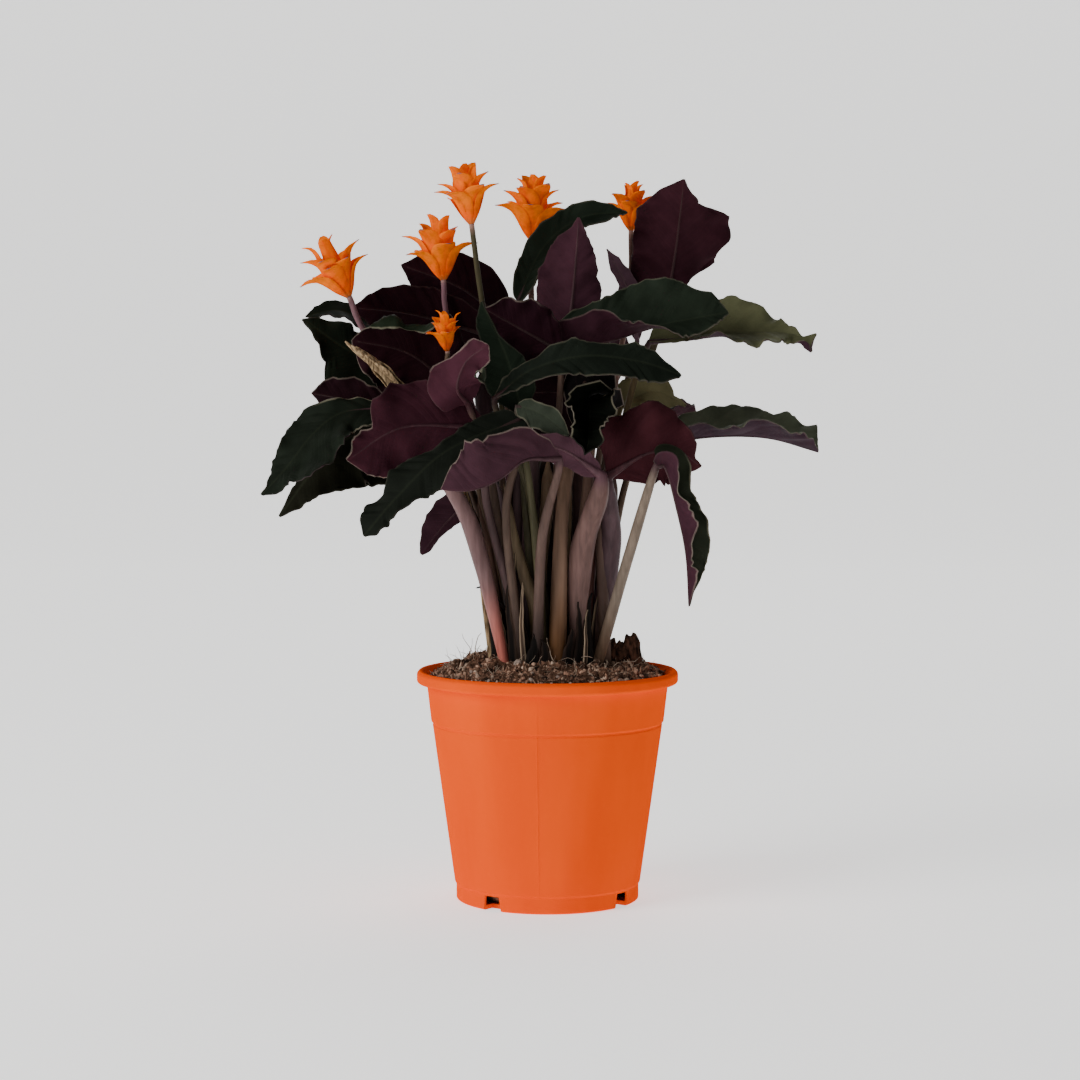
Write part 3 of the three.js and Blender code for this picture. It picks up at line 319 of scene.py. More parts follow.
         [-81, 38, 346]], face=[[0, 1, 0.3], [0, 1, 0.3]], half=[19, 19], wave=[0.8, 3, 0]),
    dict(name="top_arch", foot=[4, 15], spine=[[-4, 30, 240], [-16, 36, 326], [-3, 36, 354],
         [18, 32, 371], [44, 28, 374]], face=[[-0.8, -0.8, 0.1], [0, -0.8, 0.8]], half=[11, 15],
         fold=[20] * 4, shape=[0.4, 0.5, 0.4, 0.5]),
    dict(name="top_mauve", foot=[5, 6], spine=[[8, 14, 240], [12, 15, 310], [15, 15, 342],
         [17, 10, 370]], face=[[0, 1, 0.1], [0, 1, 0.1]], half=[19, 22], fold=[15] * 4,
         curl=[10] * 4, wave=[2, 3, 0], edges=[[2, 11.8, 15, 17, 17, 13.8, 11.4, 10.6, 7.8, 3.4,
         0.5], [2, 15.4, 21, 22.6, 21.4, 20.2, 18.2, 15.8, 11, 4.2, 0.9]]),
    dict(name="centre_dark", foot=[5, -4], spine=[[5, -8, 240], [6, -14, 298], [-14, -16, 309],
         [-34, -18, 320]], face=[[0, 0.8, 0.3], [0, 0.8, 0.3]], half=[18, 20], lobes=[1, 4],
         wave=[2.5, 4, 0], cusp=2, stem=2.5),
    dict(name="centre_green", foot=[-5, -9], spine=[[-12, -20, 220], [-13, -25, 262],
         [-22, -27, 294], [-35, -28, 323]], face=[[0, -1, 0.2], [0, -1, 0.2]], half=[18, 18],
         edges=[[2, 6.2, 12.6, 15.8, 16.2, 15.8, 14.2, 13, 9.8, 9.4, 5.8, 0.7], [2, 6.2, 10.2,
         12.2, 11.4, 9.4, 6.6, 2.6, 1, 0.6, 0.6, 1]]),
    dict(name="centre_long", foot=[2, -12], spine=[[-10, -24, 222], [-28, -38, 272],
         [-8, -44, 287], [20, -47, 294], [48, -45, 291], [70, -40, 284]], face=[[-0.3, -0.8, 0.6],
         [0.3, -0.8, 0.5]], half=[10, 14], shape=[0.6, 0.5, 0.8, 0.5], lobes=[1.2, 3],
         wave=[2, 3, 0], stem=2.9),
    dict(name="centre_purple", foot=[15, -6], spine=[[25, 6, 220], [29, 10, 262], [8, 2, 275],
         [-20, -6, 274]], face=[[0, 1, 0.2], [0, 1, 0.2]], half=[24, 31], wave=[0.8, 3, 0]),
    dict(name="back_left", foot=[-13, 26], spine=[[-26, 44, 230], [-38, 54, 290], [-56, 82, 292],
         [-76, 108, 268]], face=[[-0.2, 0.4, 1], [-0.3, 1, 0.5]], half=[26, 26], fold=[15] * 4,
         wave=[1.5, 4, 0], stem=2.9),
    dict(name="back_middle", foot=[7, 34], spine=[[12, 50, 228], [15, 60, 294], [21, 90, 296],
         [26, 122, 264]], face=[[0, 0.4, 1], [0, 1, 0.5]], half=[28, 28], fold=[15] * 4,
         wave=[1.5, 4, 1], stem=2.9),
    dict(name="back_right", foot=[26, 24], spine=[[33, 44, 215], [44, 56, 256], [62, 80, 259],
         [80, 104, 246]], face=[[0.2, 0.4, 1], [0.3, 1, 0.6]], half=[25, 25], fold=[15] * 4,
         wave=[1.5, 4, 2], stem=2.9),
    dict(name="back_low_left", foot=[-21, 20], spine=[[-32, 32, 200], [-48, 46, 240],
         [-74, 66, 248], [-100, 86, 236]], face=[[-0.2, 0.3, 1], [-0.4, 0.8, 0.6]], half=[24, 24],
         fold=[15] * 4, wave=[1.5, 4, 1]),
    dict(name="back_low", foot=[-6, 31], spine=[[-10, 44, 195], [-14, 56, 236], [-18, 84, 238],
         [-22, 114, 214]], face=[[0, 0.3, 1], [0, 1, 0.5]], half=[26, 26], fold=[15] * 4,
         wave=[1.5, 4, 2]),
]
PLAIN = dict(base=2, shape=[0.55, 0.7, 0.55, 0.7], fold=[10] * 4, curl=[0] * 4, lobes=[0, 1],
             wave=[1, 3, 0], cusp=1.0, stem=2.7, swell=[1.05, 0.95, 0.82, 0.7])
LEAVES = [{**PLAIN, **leaf} for leaf in LEAVES]
print("leaves:", len(LEAVES))

# %% [markdown]
# ## Curves in space
# A smooth curve through a few points could be a Bézier object, but the blade's surface
# needs the curve's place and direction at any step, so the Catmull-Rom formula is used
# as it stands. It passes through every point of the plan.

# %% Curve mathematics
SOIL_EDGE, SOIL_RISE, SOIL_RADIUS = 122, 12, 64    # mm: height at the wall, mound, reach


def unit(vectors):
    """The vectors at length one."""
    vectors = np.asarray(vectors, float)
    return vectors / np.maximum(np.linalg.norm(vectors, axis=-1, keepdims=True), 1e-9)


def mix(a, b, t):
    """From a at t = 0 to b at t = 1."""
    return a + (b - a) * t


def ramp(low, high, value):
    """0 at low and before it, 1 at high and beyond it, and a smooth step between."""
    t = np.clip((value - low) / (high - low), 0, 1)
    return t * t * (3 - 2 * t)


def along(points, t):
    """Points of the smooth curve through the given ones, for t from 0 to 1."""
    points, t = np.asarray(points, float), np.atleast_1d(t)
    last = len(points) - 1
    s = np.clip(t * last, 0, last - 1e-9)
    i = s.astype(int)
    f = (s - i)[:, None]
    ends = [2 * points[0] - points[1], 2 * points[-1] - points[-2]]
    padded = np.vstack([ends[0], points, ends[1]])
    a, b, c, d = (padded[i + k] for k in range(4))
    return 0.5 * (2 * b + (c - a) * f + (2 * a - 5 * b + 4 * c - d) * f ** 2
                  + (3 * b - a - 3 * c + d) * f ** 3)


def direction(points, t):
    """Unit tangents of the same curve."""
    t = np.atleast_1d(t)
    return unit(along(points, np.minimum(t + 1e-3, 1)) - along(points, np.maximum(t - 1e-3, 0)))


def soil_top(x, y):
    """Height of the mounded soil in mm, before its crumbs."""
    return SOIL_EDGE + SOIL_RISE * (1 - (x * x + y * y) / SOIL_RADIUS ** 2)


def with_foot(plan, points):
    """The plan's points with its foot on the soil put first."""
    x, y = plan["foot"]
    return np.array([[x, y, soil_top(x, y)]] + points, float)


print("soil in the middle of the pot:", soil_top(0, 0), "mm")

# %% [markdown]
# ## The blade
# On the real plant a blade is 0.3 to 0.5 mm thick, pleated softly between its side veins,
# and its margin is a row of shallow hollows that meet in points. A cloth simulation would
# sag it but not pleat it. So each cross-section is walked outwards from the midrib in
# small steps, turning as it goes: first by the fold, then the curl, and where a margin is
# rolled, by the roll. Pleats and ruffle are added across the surface. Some numbers are kept
# at every point for the material: how far it is from margin and midrib, and on which vein.
# The grid then gets 0.7 mm of thickness, a little more than a real leaf, for an edge that
# catches the light, and its faces are turned if they look inwards.

# %% Blade surface
HALF_THICK = 0.34         # mm from the blade's middle to either face
PLEAT = 9.5               # mm from one soft pleat to the next along the midrib
VEIN_SLANT, VEIN_BOW = 0.75, 0.006    # how side veins lean and bend towards the tip
HOLLOW = 11.5             # mm from one hollow of the margin to the next
REACHES = np.array([0, 0.04, 0.1, 0.18, 0.27, 0.36, 0.45, 0.54, 0.63, 0.72, 0.8, 0.87, 0.93,
                    0.97, 1.0])


def hollows(t, count, seed):
    """The margin's hollows: 0 at the points where they meet, 1 in the middle of each."""
    return np.abs(np.sin(np.pi * (count * t + 0.4 * np.sin(5.1 * t + seed)))) ** 0.8


def facing(leaf, t):
    """Unit tangents of the midrib at each t, and the way the green side looks there."""
    tangent = direction(leaf["midrib"], t)
    turned = ramp(0, 1, t)[:, None]
    normal = unit(leaf["face"][0]) * (1 - turned) + unit(leaf["face"][1]) * turned
    return tangent, unit(normal - (normal * tangent).sum(1, keepdims=True) * tangent)


def half_width(leaf, right, t, length):
    """Half widths of the blade's left or right side in mm, as a column."""
    if "edges" in leaf:
        edge = leaf["edges"][right]
        width = np.interp(t, np.linspace(0, 1, len(edge)), edge)
    else:
        a, b = leaf["shape"][2 * right:2 * right + 2]
        peak = (a / (a + b)) ** a * (b / (a + b)) ** b
        depth, lobes = leaf["lobes"]
        width = leaf["half"][right] * t ** a * (1 - t) ** b / peak
        width = width * (1 - 0.35 * ramp(0.86, 1.0, t))      # the tip is drawn out
        width += depth * np.sin(np.pi * t) * (
            np.sin(2 * np.pi * lobes * t + 2.4 * right)
            + 0.25 * np.sin(2 * np.pi * 2.7 * lobes * t + 1.1 * right + leaf["seed"]))
    width = width - leaf["cusp"] * np.sin(np.pi * t) ** 0.5 * hollows(
        t, length / HOLLOW, leaf["seed"] + 3 * right)
    return np.maximum(width, mix(1.3, 0.35, ramp(0.5, 1, t)))[:, None]


def rise(leaf, right, t):
    """Radians by which one side rises at each reach: its fold, its curl and any roll."""
    turned = ramp(0, 1, t)[:, None]
    fold = np.radians(mix(leaf["fold"][2 * right], leaf["fold"][2 * right + 1], turned))
    curl = np.radians(mix(leaf["curl"][2 * right], leaf["curl"][2 * right + 1], turned))
    angle = fold + curl * REACHES
    for side, start, stop, degrees, begin in leaf["rolls"]:
        if side == right:
            band = ramp(start - 0.12, start + 0.06, t) * (1 - ramp(stop - 0.06, stop + 0.12, t))
            angle = angle + np.radians(degrees) * band[:, None] * ramp(begin, 1.05, REACHES)
    return angle


def pleats_and_ruffle(leaf, right, t, away, veins):
    """Pleats between the side veins and ruffle of the margin, in mm."""
    uneven = 0.6 + 0.4 * np.sin(1.7 * veins + 2 * leaf["seed"])
    calm = ramp(0.5, 6, away) * (0.75 + 0.5 * REACHES ** 3)   # quiet along the midrib
    pleats = leaf["pleat"] * uneven * calm * (
        np.sin(2 * np.pi * veins) + 0.25 * np.sin(4 * np.pi * veins + leaf["seed"]))
    height, count, phase = leaf["wave"]
    wave = 2 * np.pi * t[:, None]
    ruffle = REACHES ** 2 * np.sin(np.pi * t[:, None]) ** 0.6 * height * (
        np.sin(count * wave + phase + 1.9 * right)
        + 0.28 * REACHES * np.sin(2.6 * count * wave + leaf["seed"] + 2.2 * right))
    return pleats + ruffle


def blade_surface(leaf, t):
    """Rows of points across the blade at each t, with what the material needs at them."""
    tangent, normal = facing(leaf, t)
    sideways = np.cross(tangent, normal)
    centre = along(leaf["midrib"], t)
    length = np.concatenate([[0], np.cumsum(np.linalg.norm(np.diff(centre, axis=0), axis=1))])
    zero = np.zeros((len(t), 1))
    halves = []
    for right, sign in ((0, -1), (1, 1)):
        width = half_width(leaf, right, t, length[-1])
        angle = rise(leaf, right, t)
        step = np.diff(REACHES) * width
        turn = (angle[:, 1:] + angle[:, :-1]) / 2
        out = np.hstack([zero, np.cumsum(np.cos(turn) * step, axis=1)])
        up = np.hstack([zero, np.cumsum(np.sin(turn) * step, axis=1)])
        away = width * REACHES                                   # mm from the midrib
        veins = (length[:, None] - VEIN_SLANT * away - VEIN_BOW * away ** 2) / PLEAT
        veins = veins + 0.4 * np.sin(1.9 * veins + leaf["seed"])  # no two pleats alike
        lift = pleats_and_ruffle(leaf, right, t, away, veins)[..., None]
        turned = angle[..., None]
        upright = (-np.sin(turned) * sign * sideways[:, None]
                   + np.cos(turned) * normal[:, None])
        points = (centre[:, None] + out[..., None] * sign * sideways[:, None]
                  + up[..., None] * normal[:, None] + upright * lift)
        halves.append((points, width - away, away, veins))
    left, right = halves
    return [np.concatenate([a[:, :0:-1], b], axis=1) for a, b in zip(left, right)]


def outward(points, faces):
    """The faces, turned round if the closed form they make is inside out."""
    total = 0.0
    for face in faces:
        p = points[list(face)]
        for k in range(1, len(p) - 1):
            total += float(np.dot(p[0], np.cross(p[k], p[k + 1])))
    return faces if total > 0 else [tuple(face)[::-1] for face in faces]


def merged(forms):
    """Several closed forms, points and faces each, as the points and faces of one."""
    faces, count = [], 0
    for points, own_faces in forms:
        faces += [tuple(index + count for index in face) for face in own_faces]
        count += len(points)
    return np.concatenate([points for points, _ in forms]), faces


def shell(grid, half_thick):
    """A closed thin shell round a grid of points: its points and faces, each face's kind
    (0 the upper side, 1 the lower, 2 the rounded edge) and the grid point of each point."""
    rows, columns = grid.shape[:2]
    normals = unit(np.cross(np.gradient(grid, axis=1), np.gradient(grid, axis=0)))
    count = rows * columns
    index = np.arange(count).reshape(rows, columns)
    edge = np.concatenate([index[:-1, 0], index[-1, :-1], index[:0:-1, -1], index[0, :0:-1]])
    inner = np.clip(np.stack(np.divmod(edge, columns), 1), 1, [rows - 2, columns - 2])
    flat = grid.reshape(-1, 3)
    outwards = unit(flat[edge] - flat[inner[:, 0] * columns + inner[:, 1]])
    lift = (normals * half_thick).reshape(-1, 3)
    points = np.concatenate([flat + lift, flat - lift, flat[edge] + outwards * half_thick * 0.7])
    quads = np.stack([index[:-1, :-1], index[:-1, 1:], index[1:, 1:], index[1:, :-1]], -1)
    quads = quads.reshape(-1, 4)
    rim = 2 * count + np.arange(len(edge))
    after, rim_after = np.roll(edge, -1), np.roll(rim, -1)
    faces = np.concatenate([
        quads, quads[:, ::-1] + count,
        np.stack([edge, rim, rim_after, after], 1)[:, ::-1],
        np.stack([rim, edge + count, after + count, rim_after], 1)[:, ::-1]])
    kinds = np.repeat([0, 1, 2], [len(quads), len(quads), 2 * len(edge)])
    source = np.concatenate([np.arange(count), np.arange(count), edge])
    return points, outward(points, [tuple(face) for face in faces]), kinds, source


print("points across a blade:", 2 * len(REACHES) - 1)

# %% [markdown]
# ## The petiole
# A calathea's petiole is a juicy round stem, a little flattened, sheathing at its foot and
# stiffer and thinner just under the blade, and it runs on as a rib under the midrib. It
# could be a curve with a bevel, but it has to end sunk in the soil and taper into the
# rib, so a tube of rings is built along the same points that the blade starts from.

# %% Tubes
NECK = 0.62               # petiole radius at the blade, against that at the foot
RIB_END = 0.32            # how far along the blade the rib stands out
RIB_MIDDLE, RIB_TIP = 0.7, 0.2    # mm: its radius there and at the tip
SUNK = 12                 # mm that petioles and stalks go down into the soil


def ring_faces(levels, around, first_ring, first, last):
    """Faces of a closed form made of rings of points, with a fan to a point at each end."""
    faces = []
    for i in range(levels - 1):
        for k in range(around):
            a, b = (first_ring + i * around + step % around for step in (k, k + 1))
            faces.append((a, b, b + around, a + around))
    last_ring = first_ring + (levels - 1) * around
    for k in range(around):
        after = (k + 1) % around
        faces.append((first, first_ring + after, first_ring + k))
        faces.append((last, last_ring + k, last_ring + after))
    return faces


def tube(centres, radii, side, sides=12, flat=1.0):
    """A closed tube of rings round the centres; side keeps the rings from twisting. Gives
    points, faces and the centre that each point belongs to."""
    centres, radii = np.asarray(centres, float), np.asarray(radii, float)
    tangent = unit(np.gradient(centres, axis=0))
    u = unit(side - (tangent @ side)[:, None] * tangent)
    v = np.cross(tangent, u)
    turn = (2 * np.pi * np.arange(sides) / sides)[None, :, None]
    rings = centres[:, None] + radii[:, None, None] * (
        np.cos(turn) * u[:, None] + flat * np.sin(turn) * v[:, None])
    count = len(centres)
    points = np.concatenate([rings.reshape(-1, 3), centres[:1], centres[-1:]])
    faces = ring_faces(count, sides, 0, count * sides, count * sides + 1)
    ring_of = np.concatenate([np.repeat(np.arange(count), sides), [0, count - 1]])
    return points, outward(points, faces), ring_of


def sunk(path):
    """The point before the path's first, down in the soil."""
    return path[0] - direction(path, 0)[0] * SUNK


def petiole(leaf):
    """Centres and radii from below the soil up to the blade and on under its midrib, and
    how far up the petiole each is, from 0 to 1."""
    points = leaf["points"]
    share = np.linspace(0, 1, 30)
    up = along(points, share * leaf["base"] / (len(points) - 1))
    radii = leaf["stem"] * np.interp(share, [0, 0.2, 0.5, 0.8, 1], leaf["swell"] + [NECK])
    radii = radii * (1 + 0.04 * np.sin(9 * share + leaf["seed"]))
    t = np.linspace(0.03, 0.95, 26)
    rib = np.where(t < RIB_END, mix(leaf["stem"] * NECK, RIB_MIDDLE, (t / RIB_END) ** 0.6),
                   mix(RIB_MIDDLE, RIB_TIP, (t - RIB_END) / (1 - RIB_END)))
    _, normal = facing(leaf, t)
    under = along(leaf["midrib"], t) - normal * (rib * 0.6 * ramp(0, 0.12, t))[:, None]
    centres = np.vstack([sunk(points), up, under])
    radii = np.concatenate([radii[:1], radii, rib])
    height = np.concatenate([[0], share, np.full(len(t), 1.0)])
    return centres, radii, height


print("petioles end", SUNK, "mm down in the soil")

# %% [markdown]
# ## Tints
# The leaves aren't one green. Old ones are nearly black, young ones grey-green or olive,
# and the undersides' tints go from wine to mauve: leaves where light falls on their matt
# hairs are painted the paler mauve. The near-black tints of front_cup are painted shade,
# the deep shade inside its rolled cup. Each leaf has a tint for its upper side, its
# underside and its petiole, and the petiole's own tint turns to that of its foot, which is
# pink on one and ochre on another.

# %% Table of tints
TINTS = {   # leaf: upper side, underside, and the petiole and its foot where they aren't plain
    "top_right": ("#1b2219", "#341a21", "#473c2b", "#3e3125"),
    "back_right_bud": ("#2c352b", "#573f49"),
    "right_arch": ("#232a21", "#321b23"),
    "right_long": ("#585940", "#39242f", "#5f5139", "#3e3125"),
    "right_low": ("#4c5041", "#33242d", "#5f4d40", "#4c3b2d"),
    "right_drooping": ("#21241b", "#3f262f", "#786a5d", "#6d5644"),
    "right_pale": ("#797353", "#685f43", "#5f5139", "#3e3125"),
    "front_brown": ("#27241b", "#3b1c21", "#564347", "#604c3f"),
    # front_cup: near-black tints, painted shade inside its rolled cup
    "front_cup": ("#0b0d09", "#0e0c0c", "#6f5748", "#5c3d22"),
    "front_mauve": ("#272b23", "#3d262e", "#58453e", "#201714"),
    "front_centre": ("#272b23", "#4d333c", "#684f4a", "#37251f"),
    "front_young": ("#3d4338", "#493b3b", "#4c4834", "#3e3525"),
    "front_left_dark": ("#1a1d18", "#24171a"),
    "low_left_tip": ("#272b23", "#3d262f"),
    "left_large": ("#1c211a", "#2f1b24", "#775c5b", "#b8685c"),
    "left_olive": ("#1b1b13", "#1d1413", "#514232", "#3e3125"),
    "left_red": ("#21271c", "#341921", "#4b3939", "#3e3125"),
    "centre_mauve": ("#3b4135", "#45252f"),
    "left_upper": ("#20271c", "#240f15"),
    "left_band": ("#181b14", "#220e14"),
    "left_point": ("#151a13", "#251319"),
    "left_sliver": ("#151a13", "#251319"),
    "left_small": ("#181b14", "#1f0e13"),
    "back_round": ("#181b14", "#231017"),
    "top_arch": ("#1b221a", "#2f1a22", "#423d2b", "#3e3125"),
    "top_mauve": ("#21271c", "#3f252e", "#423d2b", "#3e3125"),
    "centre_dark": ("#1b2119", "#210e15"),
    "centre_green": ("#1a2119", "#29151a", "#423d2b", "#3e3125"),
    "centre_long": ("#1a1f19", "#2f191f", "#423d2b", "#3e3125"),
    "centre_purple": ("#1b2119", "#251217"),
}
PLAIN_TINTS, PLAIN_PETIOLE = ("#1a1f17", "#2d181f"), ("#534239", "#261b16")
ROLLS = {   # leaf: margins that roll: side, from and to along the blade, degrees, start
    "left_upper": [(0, 0.45, 0.85, -190, 0.45)],
    "right_long": [(0, 0.9, 1.0, 150, 0.1), (1, 0.9, 1.0, 150, 0.1)],
    "centre_mauve": [(0, 0.5, 0.8, -175, 0.6)],
}
PALE_RIMS = {   # leaf: where its margin is pale, from and to along the blade, and how pale
    "left_upper": (0.4, 1.0, 0.7),
    "left_large": (0.0, 0.3, 1.0),
    "left_red": (0.7, 1.0, 1.0),
    "front_mauve": (0.1, 1.0, 0.75),
    "front_cup": (0.0, 0.8, 0.8),
    "front_young": (0.0, 1.0, 0.6),
    "right_drooping": (0.3, 0.9, 0.7),
    "centre_mauve": (0.5, 1.0, 0.8),
    "centre_dark": (0.5, 1.0, 0.6),
    "centre_long": (0.0, 1.0, 0.25),
    "right_arch": (0.0, 1.0, 0.3),
    "right_low": (0.0, 1.0, 0.3),
    "left_small": (0.0, 1.0, 0.5),
    "top_arch": (0.0, 1.0, 0.25),
}
print("leaves with tints of their own:", len(TINTS))

# %% [markdown]
# ## Leaf finishes
# The upper side has a waxy cuticle over dark green cells: a satin gloss with broken
# highlights, paler along the midrib and faintly along the side veins. The underside is
# matt and velvety, coloured by anthocyanin, with the veins standing out. The margin is a
# colourless rim. The patterns read the numbers kept on the blade, so a vein follows its
# leaf wherever it bends, which no pattern in space could do.

# %% Leaf materials
def speckle(tree, millimetres, detail=3.0, stretch=(1, 1, 1)):
    """Grains about that many millimetres wide, fixed in the piece."""
    place = add(tree, "ShaderNodeTexCoord", out="Object")
    mapped = add(tree, "ShaderNodeMapping", {"Vector": place, "Scale": stretch}, out=0)
    return add(tree, "ShaderNodeTexNoise", {"Vector": mapped, "Scale": 1000 / millimetres,
               "Detail": detail}, out=0)


def mottled(tree, colour, grains, dark, pale):
    """The colour, darker and paler in patches where the grains are low and high."""
    share = add(tree, "ShaderNodeMapRange", {"Value": grains, 1: 0.3, 2: 0.7, 3: dark, 4: pale},
                out=0)
    grey = add(tree, "ShaderNodeCombineColor", {0: share, 1: share, 2: share}, out=0)
    return add(tree, "ShaderNodeMix", {0: 1.0, 6: colour, 7: grey}, out=2, data_type="RGBA",
               blend_type="MULTIPLY")


def painted_line(tree, colour, distance, inner, outer, amount, tint):
    """The colour with a line of the tint over it where the distance in mm is small."""
    near = add(tree, "ShaderNodeMapRange", {"Value": distance, 1: inner, 2: outer, 3: 1.0, 4: 0.0},
               out=0, interpolation_type="SMOOTHSTEP")
    share = add(tree, "ShaderNodeMath", {0: near, 1: amount}, out=0, operation="MULTIPLY")
    return add(tree, "ShaderNodeMix", {0: share, 6: colour, 7: linear(tint)}, out=2,
               data_type="RGBA")


def roughened(tree, shader, height, millimetres):
    """Fine relief on the surface, as high as that many millimetres."""
    relief = add(tree, "ShaderNodeBump", {"Strength": 1.0, "Distance": millimetres * MM,
                 "Height": height}, out=0)
    tree.links.new(relief, shader.inputs["Normal"])


def blade_material(name, roughness, vein, midrib, rim, bump, **sockets):
    """One side of a blade. vein, midrib and rim are an amount and a colour each."""
    material, tree, shader = new_material(name, roughness, **sockets)
    tint = add(tree, "ShaderNodeAttribute", out="Color", attribute_name="tint")
    colour = mottled(tree, tint, speckle(tree, 11, 4), 0.78, 1.22)
    near, middle, margin, pale = (
        add(tree, "ShaderNodeAttribute", out="Fac", attribute_name=kept)
        for kept in ("vein_count", "from_midrib", "to_margin", "pale_rim"))
    for operation, other in (("FRACT", 0.0), ("SUBTRACT", 0.5), ("ABSOLUTE", 0.0)):
        near = add(tree, "ShaderNodeMath", {0: near, 1: other}, out=0, operation=operation)
    colour = painted_line(tree, colour, near, 0.03, 0.2, *vein)
    colour = painted_line(tree, colour, middle, 0.3, 1.3, *midrib)
    amount = add(tree, "ShaderNodeMath", {0: pale, 1: rim[0]}, out=0, operation="MULTIPLY")
    colour = painted_line(tree, colour, margin, 0.1, 0.9, amount, rim[1])
    tree.links.new(colour, shader.inputs["Base Color"])
    ribs = add(tree, "ShaderNodeMapRange", {"Value": near, 1: 0.0, 2: 0.25, 3: 0.0, 4: 0.6}, out=0)
    grain = add(tree, "ShaderNodeMath", {0: ribs, 1: speckle(tree, 0.9, 2)}, out=0)
    roughened(tree, shader, grain, bump)
    return material


LEAF_UPPER = blade_material(           # waxy cuticle: dark, satin, slightly broken gloss
    "waxy_leaf_upper_side", 0.48, (0.03, "#3c4436"), (0.08, "#4d543f"), (0.8, "#8d8772"), 0.09,
    Specular_IOR_Level=0.015)
LEAF_UNDER = blade_material(           # fine hairs: matt, soft wine red, paler veins
    "velvety_leaf_underside", 0.62, (0.03, "#5a3a42"), (0.06, "#6a4448"), (0.7, "#95857a"), 0.09,
    Specular_IOR_Level=0.02)


def rim_material():
    """The colourless margin: dry, and pale only where it has no pigment."""
    material, tree, shader = new_material("colourless_leaf_margin", 0.6, Specular_IOR_Level=0.1)
    tint = add(tree, "ShaderNodeAttribute", out="Color", attribute_name="tint")
    tree.links.new(mottled(tree, tint, speckle(tree, 3), 0.7, 1.2), shader.inputs["Base Color"])
    return material


def stem_material(name, roughness, fibre, relief):
    """Skin over lengthwise fibres; fibre says how much they vary the tint."""
    material, tree, shader = new_material(name, roughness, Specular_IOR_Level=0.15)
    fibres = speckle(tree, 2.2, 3, (1, 1, 0.05))
    tint = add(tree, "ShaderNodeAttribute", out="Color", attribute_name="tint")
    colour = mottled(tree, tint, fibres, 1 - fibre, 1 + fibre)
    colour = mottled(tree, colour, speckle(tree, 9, 3, (1, 1, 0.25)), 0.78, 1.22)
    tree.links.new(colour, shader.inputs["Base Color"])
    roughened(tree, shader, fibres, relief)
    return material


LEAF_RIM = rim_material()
STEM_SKIN = stem_material("fibrous_petiole_skin", 0.5, 0.22, 0.12)    # juicy, satin
DEAD_SHEATH = stem_material("papery_dead_sheath", 0.85, 0.5, 0.5)     # dry, torn, matt
print("leaf materials:", LEAF_UPPER.name, LEAF_UNDER.name, LEAF_RIM.name, STEM_SKIN.name)

# %% [markdown]
# ## Growing the leaves
# Each leaf becomes one piece: the thin shell of its blade and the tube of its petiole,
# which starts 12 mm down in the soil. Rows of points stand closer together at both ends
# of a blade, where it turns fastest. The piece then stands for its node of the model.

# %% Leaves
ROW, FEWEST_ROWS, MOST_ROWS = 1.3, 30, 90     # mm between rows of points along a blade, about
CLOSER = 0.4              # how much closer rows stand at the ends of a blade
NARROW = 12               # mm: half width of a blade that is nearly without pleats
DEEP_PLEATS, FAINT_PLEATS = 0.85, 0.25        # mm
SEED_STEP = 1.7           # radians by which one leaf's waves differ from the next one's
PLAIN_RIM = (0.0, 1.0, 0.07)    # a margin that isn't in PALE_RIMS
LEAST_PALE = 0.05         # how pale every margin is at least
BARE_RIM = "#8d8475"      # a margin without pigment


def keep_value(mesh, name, values):
    """Keeps one number at every point of the mesh."""
    layer = mesh.attributes.new(name, "FLOAT", "POINT")
    layer.data.foreach_set("value", np.asarray(values, np.float32))


def keep_tint(mesh, colours):
    """Keeps a linear colour at every point of the mesh."""
    layer = mesh.color_attributes.new("tint", "FLOAT_COLOR", "POINT")
    layer.data.foreach_set("color", np.asarray(colours, np.float32).ravel())


def finish_piece(piece, nodes):
    """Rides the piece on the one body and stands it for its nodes."""
    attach(piece, "root")
    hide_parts(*nodes)
    return piece


def rows_along(leaf):
    """Steps from 0 to 1 along the blade, one for each row of its points."""
    run = along(leaf["midrib"], np.linspace(0, 1, 60))
    length = np.linalg.norm(np.diff(run, axis=0), axis=1).sum()
    even = np.linspace(0, 1, int(np.clip(length / ROW, FEWEST_ROWS, MOST_ROWS)))
    return (1 - CLOSER) * even + CLOSER * (0.5 - 0.5 * np.cos(np.pi * even))


def rim_paleness(leaf, t):
    """How pale the margin is at each t."""
    start, stop, amount = PALE_RIMS.get(leaf["name"], PLAIN_RIM)
    pale = amount * ramp(start - 0.1, start + 0.05, t) * ramp(stop + 0.1, stop - 0.05, t)
    return np.maximum(pale, LEAST_PALE)[:, None]


